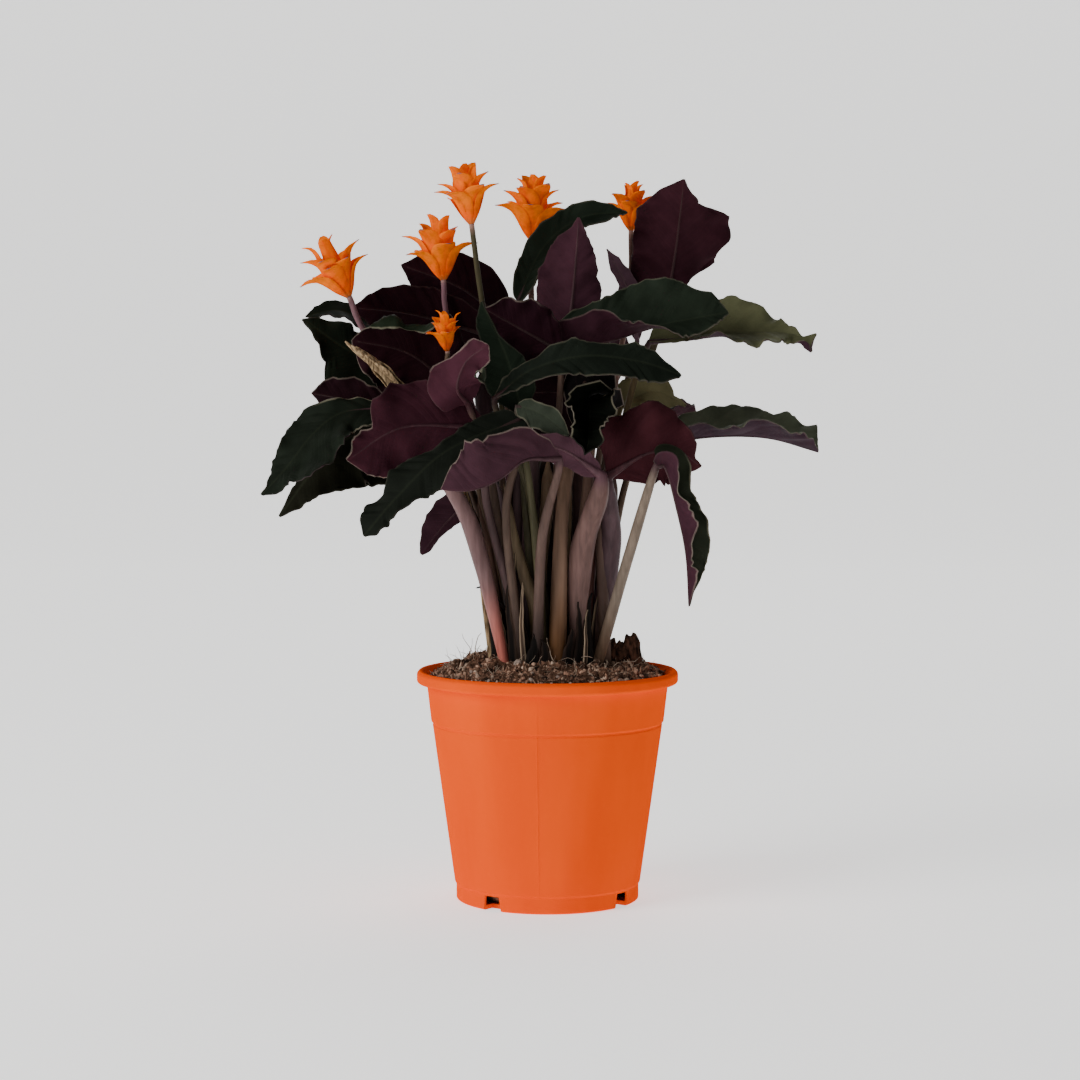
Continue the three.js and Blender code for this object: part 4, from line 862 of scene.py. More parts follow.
def grow_leaf(leaf, number):
    """Builds one leaf and returns its object."""
    name = "leaf_" + leaf["name"]
    spine = with_foot(leaf, leaf["spine"])
    leaf.update(points=spine, midrib=spine[leaf["base"]:], seed=SEED_STEP * number,
                rolls=ROLLS.get(leaf["name"], []),
                pleat=DEEP_PLEATS if max(leaf["half"]) > NARROW else FAINT_PLEATS)
    t = rows_along(leaf)
    grid, to_margin, from_midrib, veins = blade_surface(leaf, t)
    blade, blade_faces, kinds, source = shell(grid, HALF_THICK)
    centres, radii, height = petiole(leaf)
    side = np.cross(direction(leaf["midrib"], 0)[0], unit(leaf["face"][0]))
    stem, stem_faces, ring_of = tube(centres, radii, side, flat=0.9)
    points, faces = merged([(blade, blade_faces), (stem, stem_faces)])
    mesh = mesh_from(name + "_fine", points * MM, faces)
    for material in (LEAF_UPPER, LEAF_UNDER, LEAF_RIM, STEM_SKIN):
        mesh.materials.append(material)
    kinds = np.concatenate([kinds, np.full(len(stem_faces), 3)])
    mesh.polygons.foreach_set("material_index", kinds)
    pale = rim_paleness(leaf, t) * np.ones(grid.shape[1])
    for label, values in (("to_margin", to_margin), ("from_midrib", from_midrib),
                          ("vein_count", 2 * veins), ("pale_rim", pale)):
        keep_value(mesh, label, np.concatenate([values.ravel()[source], np.zeros(len(stem))]))
    tints = TINTS.get(leaf["name"], PLAIN_TINTS)
    upper, under, skin, foot, bare = paints(*tints[:2], *(tints[2:] or PLAIN_PETIOLE), BARE_RIM)
    cells = grid.shape[0] * grid.shape[1]
    tint = np.where(np.arange(len(blade))[:, None] < cells, upper, under)
    tint[2 * cells:] = mix(0.6 * (upper + under), bare, pale.ravel()[source[2 * cells:]][:, None])
    share = height[ring_of][:, None]
    skin_tint = mix(foot, skin, ramp(0.02, 0.3, share))
    skin_tint = mix(skin_tint, mix(skin, under, 0.85), ramp(0.85, 1, share))
    keep_tint(mesh, np.concatenate([tint, skin_tint]))
    return finish_piece(link(name + "_fine", mesh), [name])


leaves = [grow_leaf(leaf, number) for number, leaf in enumerate(LEAVES)]
print("leaf triangles:", sum(len(o.data.polygons) * 2 for o in leaves))

# %% [markdown]
# ## Young shoots and old sheaths
# Between the grown petioles stand leaves that haven't opened yet, rolled like quills, and
# round their feet the torn sheaths of leaves that have died. They fill the clump, which
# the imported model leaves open. Both lean with the petioles beside them.

# %% Shoots and sheaths
SHOOTS = [   # points from foot to tip, radius at each, tint of the skin and of the foot
    ([[-23.5, -12, 138], [-28.3, -12, 174], [-32.0, -12, 196], [-37.4, -12, 224]],
     [2.0, 2.0, 2.2, 2.4], "#513a31", "#2b1d15"),
    ([[-24.1, -8, 137], [-26.7, -8, 190], [-26.7, -8, 209], [-27.8, -8, 229]],
     [2.0, 2.2, 3.8, 2.6], "#715f61", "#32221c"),
    ([[-5.7, -20, 138], [-6.7, -23, 162], [-12.1, -25, 177], [-17.9, -28, 199],
     [-23.2, -30, 227]], [3.8, 4.2, 3.4, 2.6, 2.4], "#625340", "#3b2f18"),
    ([[-14.9, -4, 137], [-15.4, -4, 196], [-14.9, -4, 255]], [3.2, 3.8, 3.0], "#382829",
     "#18100d"),
    ([[-8.9, -7, 137], [-8.9, -7, 196], [-8.4, -7, 255]], [3.2, 5.0, 3.4], "#544041", "#18100d"),
    ([[-2.5, -14, 138], [-3.5, -14, 164], [-3.5, -14, 185], [-0.3, -14, 215], [0.2, -14, 242]],
     [3.0, 3.2, 3.8, 3.6, 2.8], "#705b48", "#402c28"),
    ([[6.1, -17, 138], [8.3, -17, 170], [9.9, -17, 202], [10.4, -17, 242]], [2.4, 2.6, 2.8, 2.6],
     "#715f48", "#2b1f15"),
    ([[22.4, -10, 138], [22.9, -10, 169], [25.0, -10, 201], [26.6, -10, 234]],
     [2.4, 2.6, 2.8, 2.4], "#64403a", "#231712"),
    ([[30.9, -16, 139], [29.8, -16, 169], [29.7, -16, 202], [31.3, -16, 238]],
     [3.0, 3.4, 3.8, 3.2], "#634f47", "#5c493e"),
    ([[19.3, 0, 137], [18.2, 0, 184], [16.5, 0, 244]], [4.0, 4.6, 3.6], "#422f2c", "#1a110e"),
    ([[-22.1, 2, 136], [-22.0, 2, 184], [-20.4, 2, 233]], [4.0, 4.4, 3.4], "#423224", "#1a110e"),
    ([[-25.8, 0, 137], [-30.7, 0, 184], [-33.3, 0, 224]], [3.0, 3.2, 2.4], "#4a382e", "#1e140f"),
    ([[1.9, 5, 136], [0.8, 5, 184], [-0.8, 5, 250]], [4.6, 5.6, 4.0], "#31231c", "#150e0b"),
    ([[29.2, 2, 136], [32.4, 2, 184], [36.1, 2, 236]], [3.6, 4.0, 3.0], "#483531", "#1e140f"),
    ([[11.3, 9, 136], [10.7, 9, 184], [10.1, 9, 255]], [4.4, 5.0, 3.6], "#3a2c23", "#150e0b"),
    ([[-30.5, -23, 168], [-34, -23, 171.5], [-38.5, -23, 171]], [0.9, 0.6, 0.5], "#201a16",
     "#1c1613"),
    ([[13, -15, 138], [17.5, -15, 180], [22, -15, 232], [24.5, -14, 262]], [3.4, 3.4, 3.0, 1.6],
     "#765c50", "#3a2b22"),
    # Last row: a shoot tinted near-black purple, painted shade where the clump is deepest.
    ([[-22, 6, 136], [-28, 6, 200], [-34, 4, 262], [-36, 3, 289]], [3.2, 3.8, 4.8, 3.4],
     "#2f1e21", "#17100d"),
]
SHEATHS = [   # place on the soil, height, half width, tints of the middle and of the edges
    (-29.5, -19, 27, 3.0, "#0f0c0a", "#1c1512"), (-19, -26, 42, 3.6, "#120d0b", "#3b2d24"),
    (-15, -23, 58, 2.4, "#1a1310", "#8b7863"), (-12.5, -30, 44, 1.6, "#3b2d24", "#a08c76"),
    (-8, -34, 17, 5.0, "#0d0a08", "#1c1512"), (-2, -35, 14, 4.0, "#120d0b", "#2b1f19"),
    (16, -31, 34, 3.2, "#120d0b", "#2b1f19"), (19.5, -30, 30, 1.3, "#3b2d24", "#a08c76"),
    (22, -26, 38, 3.8, "#0f0c0a", "#1c1512"), (20, -22, 66, 1.8, "#4a382c", "#a5907a"),
    (11, -33, 20, 4.0, "#120d0b", "#2b1f19")]
BACK_TINTS = [("#17110e", "#2b1f19"), ("#2f231c", "#8b7863")]
SHEATH_STEPS, SHEATH_SIDE_STEPS = 18, 7       # points up it and across it
SHEATH_THICK, SHEATH_SUNK = 0.6, 5            # mm
chance = np.random.default_rng(8)
for turn in np.linspace(-0.5, 3.6, 20):       # and more of them round the back
    away = chance.uniform(24, 33)
    SHEATHS.append((away * math.cos(turn), away * math.sin(turn), chance.uniform(18, 60),
                    chance.uniform(2.5, 5), *chance.choice(BACK_TINTS)))


def grow_strands(name, strands, material):
    """Joins closed strands, each its points, faces and a tint for each point, in one piece."""
    points, faces = merged([strand[:2] for strand in strands])
    mesh = mesh_from(name, points * MM, faces)
    mesh.materials.append(material)
    keep_tint(mesh, np.concatenate([tints for _, _, tints in strands]))
    piece = link(name, mesh)
    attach(piece, "root")
    return piece


def shoot(points, radii, skin, foot, number):
    """A rolled young leaf: a slim tube with a drawn-out tip."""
    share = np.linspace(0, 1, 34)
    radius = along([[r, 0, 0] for r in radii], share)[:, 0]
    radius = radius * (0.12 + 0.88 * ramp(1.0, 0.86, share))
    radius = radius * (1 + 0.05 * np.sin(11 * share + number))
    own, faces, ring_of = tube(np.vstack([sunk(points), along(points, share)]),
                               np.append(radius[0], radius), np.array([1.0, 0.1, 0]), flat=0.85)
    skin, foot = paints(skin, foot)
    return own, faces, mix(foot, skin, ramp(0.04, 0.3, np.append(0, share)[ring_of][:, None]))


def sheath(number, x, y, tall, width, dark, pale):
    """A strip of dead sheath: hollow towards the clump, torn to a point at its top."""
    turn = math.atan2(y, x)
    ring, lean = 4 + 3 * (number % 3) / 2, 0.03 + 0.04 * (number % 4)
    t = np.linspace(0, 1, SHEATH_STEPS)[:, None]
    swing = np.linspace(-1, 1, SHEATH_SIDE_STEPS)
    torn = 1 - 0.9 * t ** 1.6 + 0.14 * np.sin(23 * t + number + 2 * np.sign(swing)) * t
    angle = swing * torn * width / ring
    out = np.array([math.cos(turn), math.sin(turn), 0])
    wide = np.array([-math.sin(turn), math.cos(turn), 0])
    foot = np.array([x, y, soil_top(x, y) - SHEATH_SUNK])
    middle = foot + t * (tall + SHEATH_SUNK) * np.array([0, 0, 1.0])
    middle = middle + t ** 1.5 * tall * lean * out + 1.6 * t * np.sin(5 * t + number) * wide
    grid = (middle[:, None] + ring * np.sin(angle)[..., None] * wide
            - ring * (1 - np.cos(angle))[..., None] * out)
    own, faces, _, source = shell(grid, SHEATH_THICK / 2)
    edge = np.abs(np.tile(swing, SHEATH_STEPS))[source][:, None]
    return own, faces, mix(*paints(dark, pale), ramp(0.3, 1.0, edge))


young = [shoot(*row, number) for number, row in enumerate(SHOOTS)]
torn_strips = [sheath(number, *row) for number, row in enumerate(SHEATHS)]
shoots = grow_strands("young_shoots", young, STEM_SKIN)
sheaths = grow_strands("dead_sheaths", torn_strips, DEAD_SHEATH)
print("faces of the shoots:", len(shoots.data.polygons), "sheaths:", len(sheaths.data.polygons))

# %% [markdown]
# ## Flower stalks
# Each head stands on its own thin round stalk, mauve-brown and satin, a little paler under
# the head where the lowest bracts hold it. The same tube as the petiole's makes it.

# %% Stalks
BLOOMS = [   # foot, stalk, the head's height and half width in mm, turn, bracts in each whorl
    dict(name="left", foot=[-30, 0], stalk=[[-46, 3, 225], [-96, 1, 303], [-107, -2, 327]],
         tall=35, wide=17, turn=10, counts=(6, 5, 4), stem=1.9, tint="#74545a"),
    dict(name="mid_left", foot=[-11, 17], stalk=[[-34, 26, 240], [-54, 21, 312], [-57, 20, 337]],
         tall=36, wide=17, turn=60, counts=(5, 5, 4), stem=1.7, tint="#7c5a62"),
    dict(name="high", foot=[-5, 8], stalk=[[-22, 10, 250], [-35, 4, 322], [-41, 1, 366]],
         tall=34, wide=16, turn=0, counts=(6, 5, 5), stem=1.7, tint="#46402c"),
    dict(name="top", foot=[2, 25], stalk=[[-5, 43, 250], [-9, 50, 330], [-8, 51, 360]],
         tall=38, wide=18, turn=30, counts=(6, 6, 5), stem=1.9, tint="#6b5048"),
    dict(name="top_side", foot=[0, 31], stalk=[[-2, 56, 250], [0, 67, 330], [5, 70, 352]],
         tall=27, wide=9, turn=80, counts=(4, 4, 3), stem=1.5, tint="#6b5048"),
    dict(name="back_right", foot=[19, 30], stalk=[[34, 54, 250], [46, 55, 330], [47, 55, 366]],
         tall=28, wide=14, turn=45, counts=(5, 5, 4), stem=1.7, tint="#6b5048"),
    dict(name="low", foot=[-16, -9], stalk=[[-39, -15, 232], [-52, -27, 284], [-53, -29, 297]],
         tall=22, wide=10, turn=20, counts=(4, 4, 4), stem=1.5, tint="#5c4a3c"),
]
STALK_FOOT, STALK_COLLAR = "#4a3a2c", "#a98378"


def stalk_tube(path, radius, steps, neck=1.0):
    """A round stalk along the path from down in the soil: points, faces and how far up the
    stalk each point is. neck is its radius at the top, against that at the foot."""
    share = np.linspace(0, 1, steps)
    centres = np.vstack([sunk(path), along(path, share)])
    radii = radius * np.concatenate([[1], mix(1, neck, share)])
    points, faces, ring_of = tube(centres, radii, np.array([1.0, 0, 0]), sides=10)
    return points, faces, np.append(0, share)[ring_of][:, None]


def grow_stalk(bloom):
    """A bloom's stalk, from below the soil to just under the head."""
    name = "stalk_" + bloom["name"]
    points, faces, height = stalk_tube(bloom["points"], bloom["stem"], 40, neck=0.85)
    mesh = mesh_from(name + "_fine", points * MM, faces)
    mesh.materials.append(STEM_SKIN)
    skin, foot, collar = paints(bloom["tint"], STALK_FOOT, STALK_COLLAR)
    keep_tint(mesh, mix(mix(foot, skin, ramp(0.05, 0.4, height)), collar, ramp(0.96, 1, height)))
    return finish_piece(link(name + "_fine", mesh), [name])


for bloom in BLOOMS:
    bloom["points"] = with_foot(bloom, bloom["stalk"])
stalks = [grow_stalk(bloom) for bloom in BLOOMS]
print("stalks:", len(stalks))

# %% [markdown]
# ## Bracts
# The orange parts of a calathea's head are bracts, stiff papery leaves. The lower ones
# wrap round the axis as a cup and then bend outwards to a long thin tip that dries grey,
# the upper ones stand up and end bluntly. Three patterns of bract are drawn as blades
# along a profile, from the axis outwards, and wrapped round it.

# %% Three bracts
def bract(name, profile, halves, wrap, dry=1.0, rows=11, columns=7, thick=0.010):
    """A closed blade in units of the head's height. profile gives distance from the axis
    and height at steps along it, halves its half width there, wrap how round it is, and
    dry how far its end dries."""
    t = np.linspace(0, 1, rows)
    path = [[r, 0, z] for r, z in profile]
    half = np.maximum(along([[h, 0, 0] for h in halves], t)[:, 0], 0.006)
    bend = np.maximum(along([[w, 0, 0] for w in wrap], t)[:, 0], 0.04)[:, None]
    across = np.linspace(-1, 1, columns)
    inwards = np.cross(direction(path, t), [0, 1.0, 0])
    swing = across * (half[:, None] / bend)
    grid = (along(path, t)[:, None] + (bend * np.sin(swing))[..., None] * np.array([0, 1.0, 0])
            + (bend * (1 - np.cos(swing)))[..., None] * inwards[:, None])
    points, faces, _, source = shell(grid, thick / 2)
    mesh = mesh_from(name, points, faces)
    keep_value(mesh, "toward_tip", dry * np.repeat(t, columns)[source])
    keep_value(mesh, "from_keel", np.tile(np.abs(across), rows)[source])
    return link(name, mesh)


LOW_BRACT = bract(
    "low_bract",
    [(0.04, 0), (0.13, 0.14), (0.20, 0.30), (0.28, 0.43), (0.41, 0.50), (0.53, 0.52)],
    [0.05, 0.15, 0.21, 0.20, 0.13, 0.004], [0.05, 0.14, 0.21, 0.25, 0.22, 0.15])
MID_BRACT = bract(
    "mid_bract",
    [(0.04, 0.04), (0.13, 0.25), (0.20, 0.46), (0.25, 0.61), (0.35, 0.71), (0.46, 0.76)],
    [0.05, 0.15, 0.19, 0.18, 0.12, 0.004], [0.06, 0.14, 0.20, 0.23, 0.22, 0.15])
TOP_BRACT = bract(
    "top_bract",
    [(0.03, 0.12), (0.11, 0.36), (0.15, 0.60), (0.14, 0.78), (0.17, 0.90), (0.25, 0.97)],
    [0.05, 0.12, 0.13, 0.11, 0.09, 0.03], [0.08, 0.12, 0.15, 0.15, 0.15, 0.14], dry=0.85)
print("faces of one bract:", len(LOW_BRACT.data.polygons))

# %% [markdown]
# Orange bracts are papery and matt. Their cup and the fold along each keel are painted a
# deeper red-orange as shade, the edges keep the brighter orange, and the last millimetres
# of each tip are dry and grey-violet.

# %% Bract material
def bract_material(name, body, painted_shade, pale, tip, roughness):
    """Papery bract: pale at its foot, painted shade in the cup and on the keel, dry at its tip."""
    material, tree, shader = new_material(name, roughness, Specular_IOR_Level=0.0)
    place = add(tree, "ShaderNodeAttribute", out="Fac", attribute_name="toward_tip")
    keel = add(tree, "ShaderNodeAttribute", out="Fac", attribute_name="from_keel")
    shades = add(tree, "ShaderNodeValToRGB", {"Fac": place})
    # The cup's stop and the keel line are painted shade, a deeper red-orange.
    set_stops(shades, [(0.0, pale), (0.14, painted_shade), (0.5, body), (1.0, body)])
    colour = painted_line(tree, shades.outputs[0], keel, 0.0, 0.35, 0.45, painted_shade)
    colour = mottled(tree, colour, speckle(tree, 4, 3), 0.8, 1.15)
    ends = add(tree, "ShaderNodeMapRange", {"Value": place, 1: 0.9, 2: 1.0}, out=0,
               interpolation_type="SMOOTHSTEP")
    colour = add(tree, "ShaderNodeMix", {0: ends, 6: colour, 7: linear(tip)}, out=2,
                 data_type="RGBA")
    tree.links.new(colour, shader.inputs["Base Color"])
    roughened(tree, shader, speckle(tree, 1.2, 2), 0.12)
    return material


# body, painted shade of cup and keel, pale foot, dry grey-violet tip
ORANGE_BRACT = bract_material("papery_orange_bract", "#ff7a00", "#fa5c00", "#c9703a", "#8a6a68",
                              0.6)
print(ORANGE_BRACT.name)

# %% [markdown]
# ## Flower heads by Geometry Nodes
# A head is whorls of the same few bracts round an axis, so it is a rule, and Geometry
# Nodes suit it. The tree makes a few points, puts a bract on each, turns them round the
# axis by equal steps and a little chance, and repeats that for each whorl. Its inputs set
# the numbers, so seven heads with different counts and turns come from one tree.

# %% The head's tree
WHORL_TURN = 0.7          # radians from one whorl to the next
CHANCES = [   # lowest, highest and seed of each bract's own turn, its tilt and its size
    (-0.25, 0.25, 0), (-0.16, 0.16, 10), (0.92, 1.04, 20)]


def begin_tree(name, inputs):
    """A tree with named inputs that gives a geometry: the tree and its inputs' sockets."""
    tree = bpy.data.node_groups.new(name, "GeometryNodeTree")
    tree.interface.new_socket("Geometry", in_out="OUTPUT", socket_type="NodeSocketGeometry")
    for label, kind in inputs:
        tree.interface.new_socket(label, in_out="INPUT", socket_type="NodeSocket" + kind)
    return tree, tree.nodes.new("NodeGroupInput").outputs


def end_tree(tree, geometry, material):
    """Makes the instances real, gives them the material and passes them out."""
    real = add(tree, "GeometryNodeRealizeInstances", {"Geometry": geometry})
    finish = add(tree, "GeometryNodeSetMaterial",
                 {"Geometry": real.outputs[0], "Material": material})
    tree.links.new(finish.outputs[0], tree.nodes.new("NodeGroupOutput").inputs[0])
    return tree


def head_tree():
    """Three whorls of bracts round the z axis, in units of the head's height."""
    tree, given = begin_tree("flower_head", [
        ("Low bract", "Object"), ("Mid bract", "Object"), ("Top bract", "Object"),
        ("Low count", "Int"), ("Mid count", "Int"), ("Top count", "Int"),
        ("Turn", "Float"), ("Looseness", "Float"), ("Seed", "Int"), ("Finish", "Material")])
    joined = add(tree, "GeometryNodeJoinGeometry")
    index = add(tree, "GeometryNodeInputIndex", out=0)
    for number, layer in enumerate(("Low", "Mid", "Top")):
        spots = add(tree, "GeometryNodePoints", {"Count": given[layer + " count"]})
        step = add(tree, "ShaderNodeMath", {0: 2 * math.pi, 1: given[layer + " count"]}, out=0,
                   operation="DIVIDE")
        place = add(tree, "ShaderNodeMath", {0: index, 1: step, 2: given["Turn"]}, out=0,
                    operation="MULTIPLY_ADD")
        chance = []
        for low, high, more in CHANCES:
            seed = add(tree, "ShaderNodeMath", {0: given["Seed"], 1: float(more + number)}, out=0)
            chance.append(add(tree, "FunctionNodeRandomValue", {2: low, 3: high, "ID": index,
                              "Seed": seed}, out=1, data_type="FLOAT"))
        spin = add(tree, "ShaderNodeMath", {0: place, 1: chance[0]}, out=0)
        spin = add(tree, "ShaderNodeMath", {0: spin, 1: WHORL_TURN * number}, out=0)
        tilt = add(tree, "ShaderNodeMath", {0: chance[1], 1: given["Looseness"]}, out=0,
                   operation="MULTIPLY")
        turns = add(tree, "ShaderNodeCombineXYZ", {1: tilt, 2: spin}, out=0)
        shape = add(tree, "GeometryNodeObjectInfo", {"Object": given[layer + " bract"]})
        bracts = add(tree, "GeometryNodeInstanceOnPoints",
                     {"Points": spots.outputs[0], "Instance": shape.outputs["Geometry"],
                      "Rotation": turns, "Scale": chance[2]})
        tree.links.new(bracts.outputs[0], joined.inputs[0])
    return end_tree(tree, joined.outputs[0], given["Finish"])


def as_made(piece):
    """The mesh that an object's modifiers make of it, as a plain mesh."""
    ready = piece.evaluated_get(bpy.context.evaluated_depsgraph_get())
    return bpy.data.meshes.new_from_object(ready)


def run_tree(name, start, tree, **values):
    """Runs a tree on a start object and returns the result as a plain mesh."""
    modifier = start.modifiers.new("growth", "NODES")
    modifier.node_group = tree
    names = {item.name: item.identifier for item in tree.interface.items_tree
             if item.in_out == "INPUT"}
    for label, value in values.items():
        modifier[names[label.replace("_", " ")]] = value
    mesh = as_made(start)
    mesh.name = name
    start.modifiers.remove(modifier)
    return mesh


HEAD = head_tree()
print("nodes in the head's tree:", len(HEAD.nodes))

# %% [markdown]
# Every head is grown upright at the origin, then its mesh is turned to the end of its
# stalk and made as tall as the plan says.

# %% Flower heads
SPREAD = 2.15             # takes the mid bract's tip, 0.46 from the axis, to the half width


def grow_head(bloom, number):
    """One flower head on its stalk."""
    name = "bloom_" + bloom["name"]
    start = link("head_start", bpy.data.meshes.new("head_start"))
    low, mid, top = bloom["counts"]
    mesh = run_tree(name + "_fine", start, HEAD, Low_bract=LOW_BRACT, Mid_bract=MID_BRACT,
                    Top_bract=TOP_BRACT, Low_count=low, Mid_count=mid, Top_count=top,
                    Turn=math.radians(bloom["turn"]), Looseness=1.0, Seed=11 * number + 3,
                    Finish=ORANGE_BRACT)
    bpy.data.objects.remove(start)
    axis = Vector(direction(bloom["points"], 1)[0])
    spin = Vector((0, 0, 1)).rotation_difference(axis).to_matrix().to_4x4()
    reach = SPREAD * bloom["wide"] / bloom["tall"]
    size = Matrix.Diagonal((reach, reach, 1, 1)) @ Matrix.Scale(bloom["tall"] * MM, 4)
    foot = Vector(bloom["points"][-1]) * MM
    mesh.transform(Matrix.Translation(foot) @ spin @ size)
    return finish_piece(link(name + "_fine", mesh), [name])


heads = [grow_head(bloom, number) for number, bloom in enumerate(BLOOMS)]
for pattern in (LOW_BRACT, MID_BRACT, TOP_BRACT):
    bpy.data.objects.remove(pattern)
print("flower heads:", len(heads), "faces each:", [len(o.data.polygons) for o in heads])

# %% [markdown]
# ## The spent head
# One head has finished flowering: its bracts have folded into a tan, papery sheath on a
# dry stalk, tucked between the leaves. Long narrow blades, each rolled a little, stand in
# a loose bundle round the stalk's end.

# %% Spent head
DRIED = dict(foot=[-30, -14], stalk=[[-44, -17, 222], [-74, -33, 274]], stem=1.4)
DROOP = unit([-0.74, -0.1, 0.66])      # the head's axis leans further out than its stalk
DRY_BLADES = [   # length, outward bow and half width in mm, turn round the axis in radians
    (43, 1.5, 5.4, 0.3), (37, 2.4, 4.8, 2.5), (33, 3.2, 4.4, 4.2), (26, 3.6, 3.8, 5.3)]
DRY_SUNK, DRY_THICK = 6, 0.5           # mm: blades start this far down the stalk


def plain_material(name, dark, pale, roughness, grain, relief_mm, stretch=(1, 1, 1)):
    """A two-tone finish: grains of a dark and a pale colour, and relief from them."""
    material, tree, shader = new_material(name, roughness, Specular_IOR_Level=0.15)
    share = add(tree, "ShaderNodeMapRange", {"Value": speckle(tree, grain, 4, stretch),
                1: 0.35, 2: 0.65}, out=0)
    colour = add(tree, "ShaderNodeMix", {0: share, 6: linear(dark), 7: linear(pale)}, out=2,
                 data_type="RGBA")
    tree.links.new(colour, shader.inputs["Base Color"])
    roughened(tree, shader, share, relief_mm)
    return material


# Dry bract: matt straw whose fibres run along it, with brown between them.
STRAW = plain_material("dry_straw_bract", "#54412d", "#b89c78", 0.8, 1.3, 0.3, (1, 1, 0.15))


def dry_blade(number, foot, tall, bow, width, turn):
    """One long narrow blade of the spent head, rolled a little, its edge uneven."""
    t = np.linspace(0, 1, 16)
    side = unit(np.cross(DROOP, [0, 1, 0]))
    out = np.cos(turn) * side + np.sin(turn) * np.cross(DROOP, side)
    wide = np.cross(DROOP, out)
    line = (foot + np.outer(tall * t - DRY_SUNK * (1 - t), DROOP)
            + np.outer(bow * np.sin(2.6 * t) + 0.4 * np.sin(9 * t + number), out))
    half = width * np.maximum(np.sin(np.pi * np.minimum(0.12 + 0.84 * t, 1)) ** 0.7, 0.1)
    half = half * (1 + 0.18 * np.sin(17 * t + 2 * number))
    rolled = 1.1 - 0.4 * t
    swing = np.linspace(-1, 1, 9) * rolled[:, None]
    ring = (half / rolled)[:, None]
    grid = (line[:, None] + (ring * np.sin(swing))[..., None] * wide
            - (ring * (1 - np.cos(swing)))[..., None] * out)
    return shell(grid, DRY_THICK / 2)[:2]


def grow_dried():
    """The spent head and its stalk as one piece."""
    path = with_foot(DRIED, DRIED["stalk"])
    forms = [stalk_tube(path, DRIED["stem"], 30)[:2]]
    forms += [dry_blade(number, path[-1], *row) for number, row in enumerate(DRY_BLADES)]
    points, faces = merged(forms)
    mesh = mesh_from("dried_bloom_fine", points * MM, faces)
    mesh.materials.append(STRAW)
    return finish_piece(link("dried_bloom_fine", mesh), ["dried_bloom"])


dried = grow_dried()
print("spent head:", len(dried.data.polygons), "faces")

# %% [markdown]
# ## Soil
# The plant stands in peat: dark crumbs from dust to pebble size, mounded in the middle,
# with bits of bark and fine roots. A displaced surface alone looks like clay, because
# real crumbs overhang. So a bumpy mound gives the lie of the soil, and Geometry Nodes
# scatter loose crumbs over it.

# %% Mound
HEAPS = [(-36, -6, 3.2, 300), (46, 4, 3.0, 200)]    # place and height in mm, spread
BALL_FOOT = 2.9           # mm: the root ball stands on the pot's floor
BALL_WALL = [(40, BALL_FOOT), (48, 11.5), (55, 60), (62.9, 118), (63.6, 121.5)]
BALL_TOP = 62.6           # mm: where the lumpy top begins
HIGHEST_LUMP = 5          # mm


def crumbs_at(x, y):
    """Height of the lumps in mm at a place on the soil."""
    big = noise.fractal(Vector((x / 8, y / 8, 0.3)), 0.7, 2.1, 5)
    fine = noise.noise(Vector((x / 2.2, y / 2.2, 5.1)))
    heaps = sum(tall * math.exp(-((x - near_x) ** 2 + (y - near_y) ** 2) / spread)
                for near_x, near_y, tall, spread in HEAPS)
    return 2.8 * big + 0.7 * fine + heaps


def soil_mound(around=150, rings=44):
    """The root ball: a floor, a wall inside the pot's and a lumpy mounded top."""
    points = [(0, 0, BALL_FOOT)]
    top = np.linspace(BALL_TOP, 0, rings + 1)[:-1]
    turns = 2 * np.pi * np.arange(around) / around
    for radius, z in BALL_WALL:
        points += [(radius * math.cos(a), radius * math.sin(a), z) for a in turns]
    for radius in top:
        for a in turns:
            x, y = radius * math.cos(a), radius * math.sin(a)
            lump_height = min(crumbs_at(x, y), HIGHEST_LUMP) * float(ramp(64, 56, radius))
            points.append((x, y, soil_top(x, y) + lump_height))
    points.append((0, 0, soil_top(0, 0) + crumbs_at(0, 0)))
    points = np.array(points)
    faces = ring_faces(len(BALL_WALL) + len(top), around, 1, 0, len(points) - 1)
    return mesh_from("soil_mound", points * MM, outward(points, faces))


mound = link("soil_mound", soil_mound())
print("mound faces:", len(mound.data.polygons))

# %% [markdown]
# Peat is brown-black, matt and fibrous. Its crumbs differ: most are dark, some are a drier
# red-brown, and a few are pale. A random number that each crumb gets from the scatter
# tree picks its tint, and a fine noise breaks it.

# %% Peat and root materials
def peat_material():
    """Moist fibrous peat: each crumb has a tint of its own."""
    material, tree, shader = new_material("moist_fibrous_peat", 0.95, Specular_IOR_Level=0.1)
    pick = add(tree, "ShaderNodeAttribute", out="Fac", attribute_name="pick")
    tones = add(tree, "ShaderNodeValToRGB", {"Fac": pick})
    set_stops(tones, [(0.0, "#33251f"), (0.3, "#6f513f"), (0.7, "#9a7460"), (0.92, "#b3917b"),
                      (1.0, "#d0b49e")])
    colour = mottled(tree, tones.outputs[0], speckle(tree, 2.2, 4), 0.35, 1.3)
    colour = mottled(tree, colour, speckle(tree, 9, 2), 0.5, 1.75)        # damp and dry patches
    tree.links.new(colour, shader.inputs["Base Color"])
    roughened(tree, shader, speckle(tree, 1.0, 4), 0.5)
    return material


PEAT = peat_material()
ROOT = plain_material("dry_fine_root", "#876e5e", "#d6c3ad", 0.85, 2, 0.1)
PEBBLE = plain_material("rounded_river_pebble", "#8a766b", "#b09d90", 0.7, 2.5, 0.15)
BARK_SKIN = plain_material("weathered_pine_bark", "#1c120d", "#674737", 0.95, 2.6, 0.6,
                           (1, 1, 0.5))
print("soil materials:", PEAT.name, ROOT.name, PEBBLE.name, BARK_SKIN.name)

# %% [markdown]
# ## Scattering by Geometry Nodes
# Crumbs, pebbles and root ends are all small things strewn on the mound, so one tree
# serves them all: it strews points on the upward faces, puts one of a few shapes on each,
# turned and sized by chance, and keeps a random number for the material.

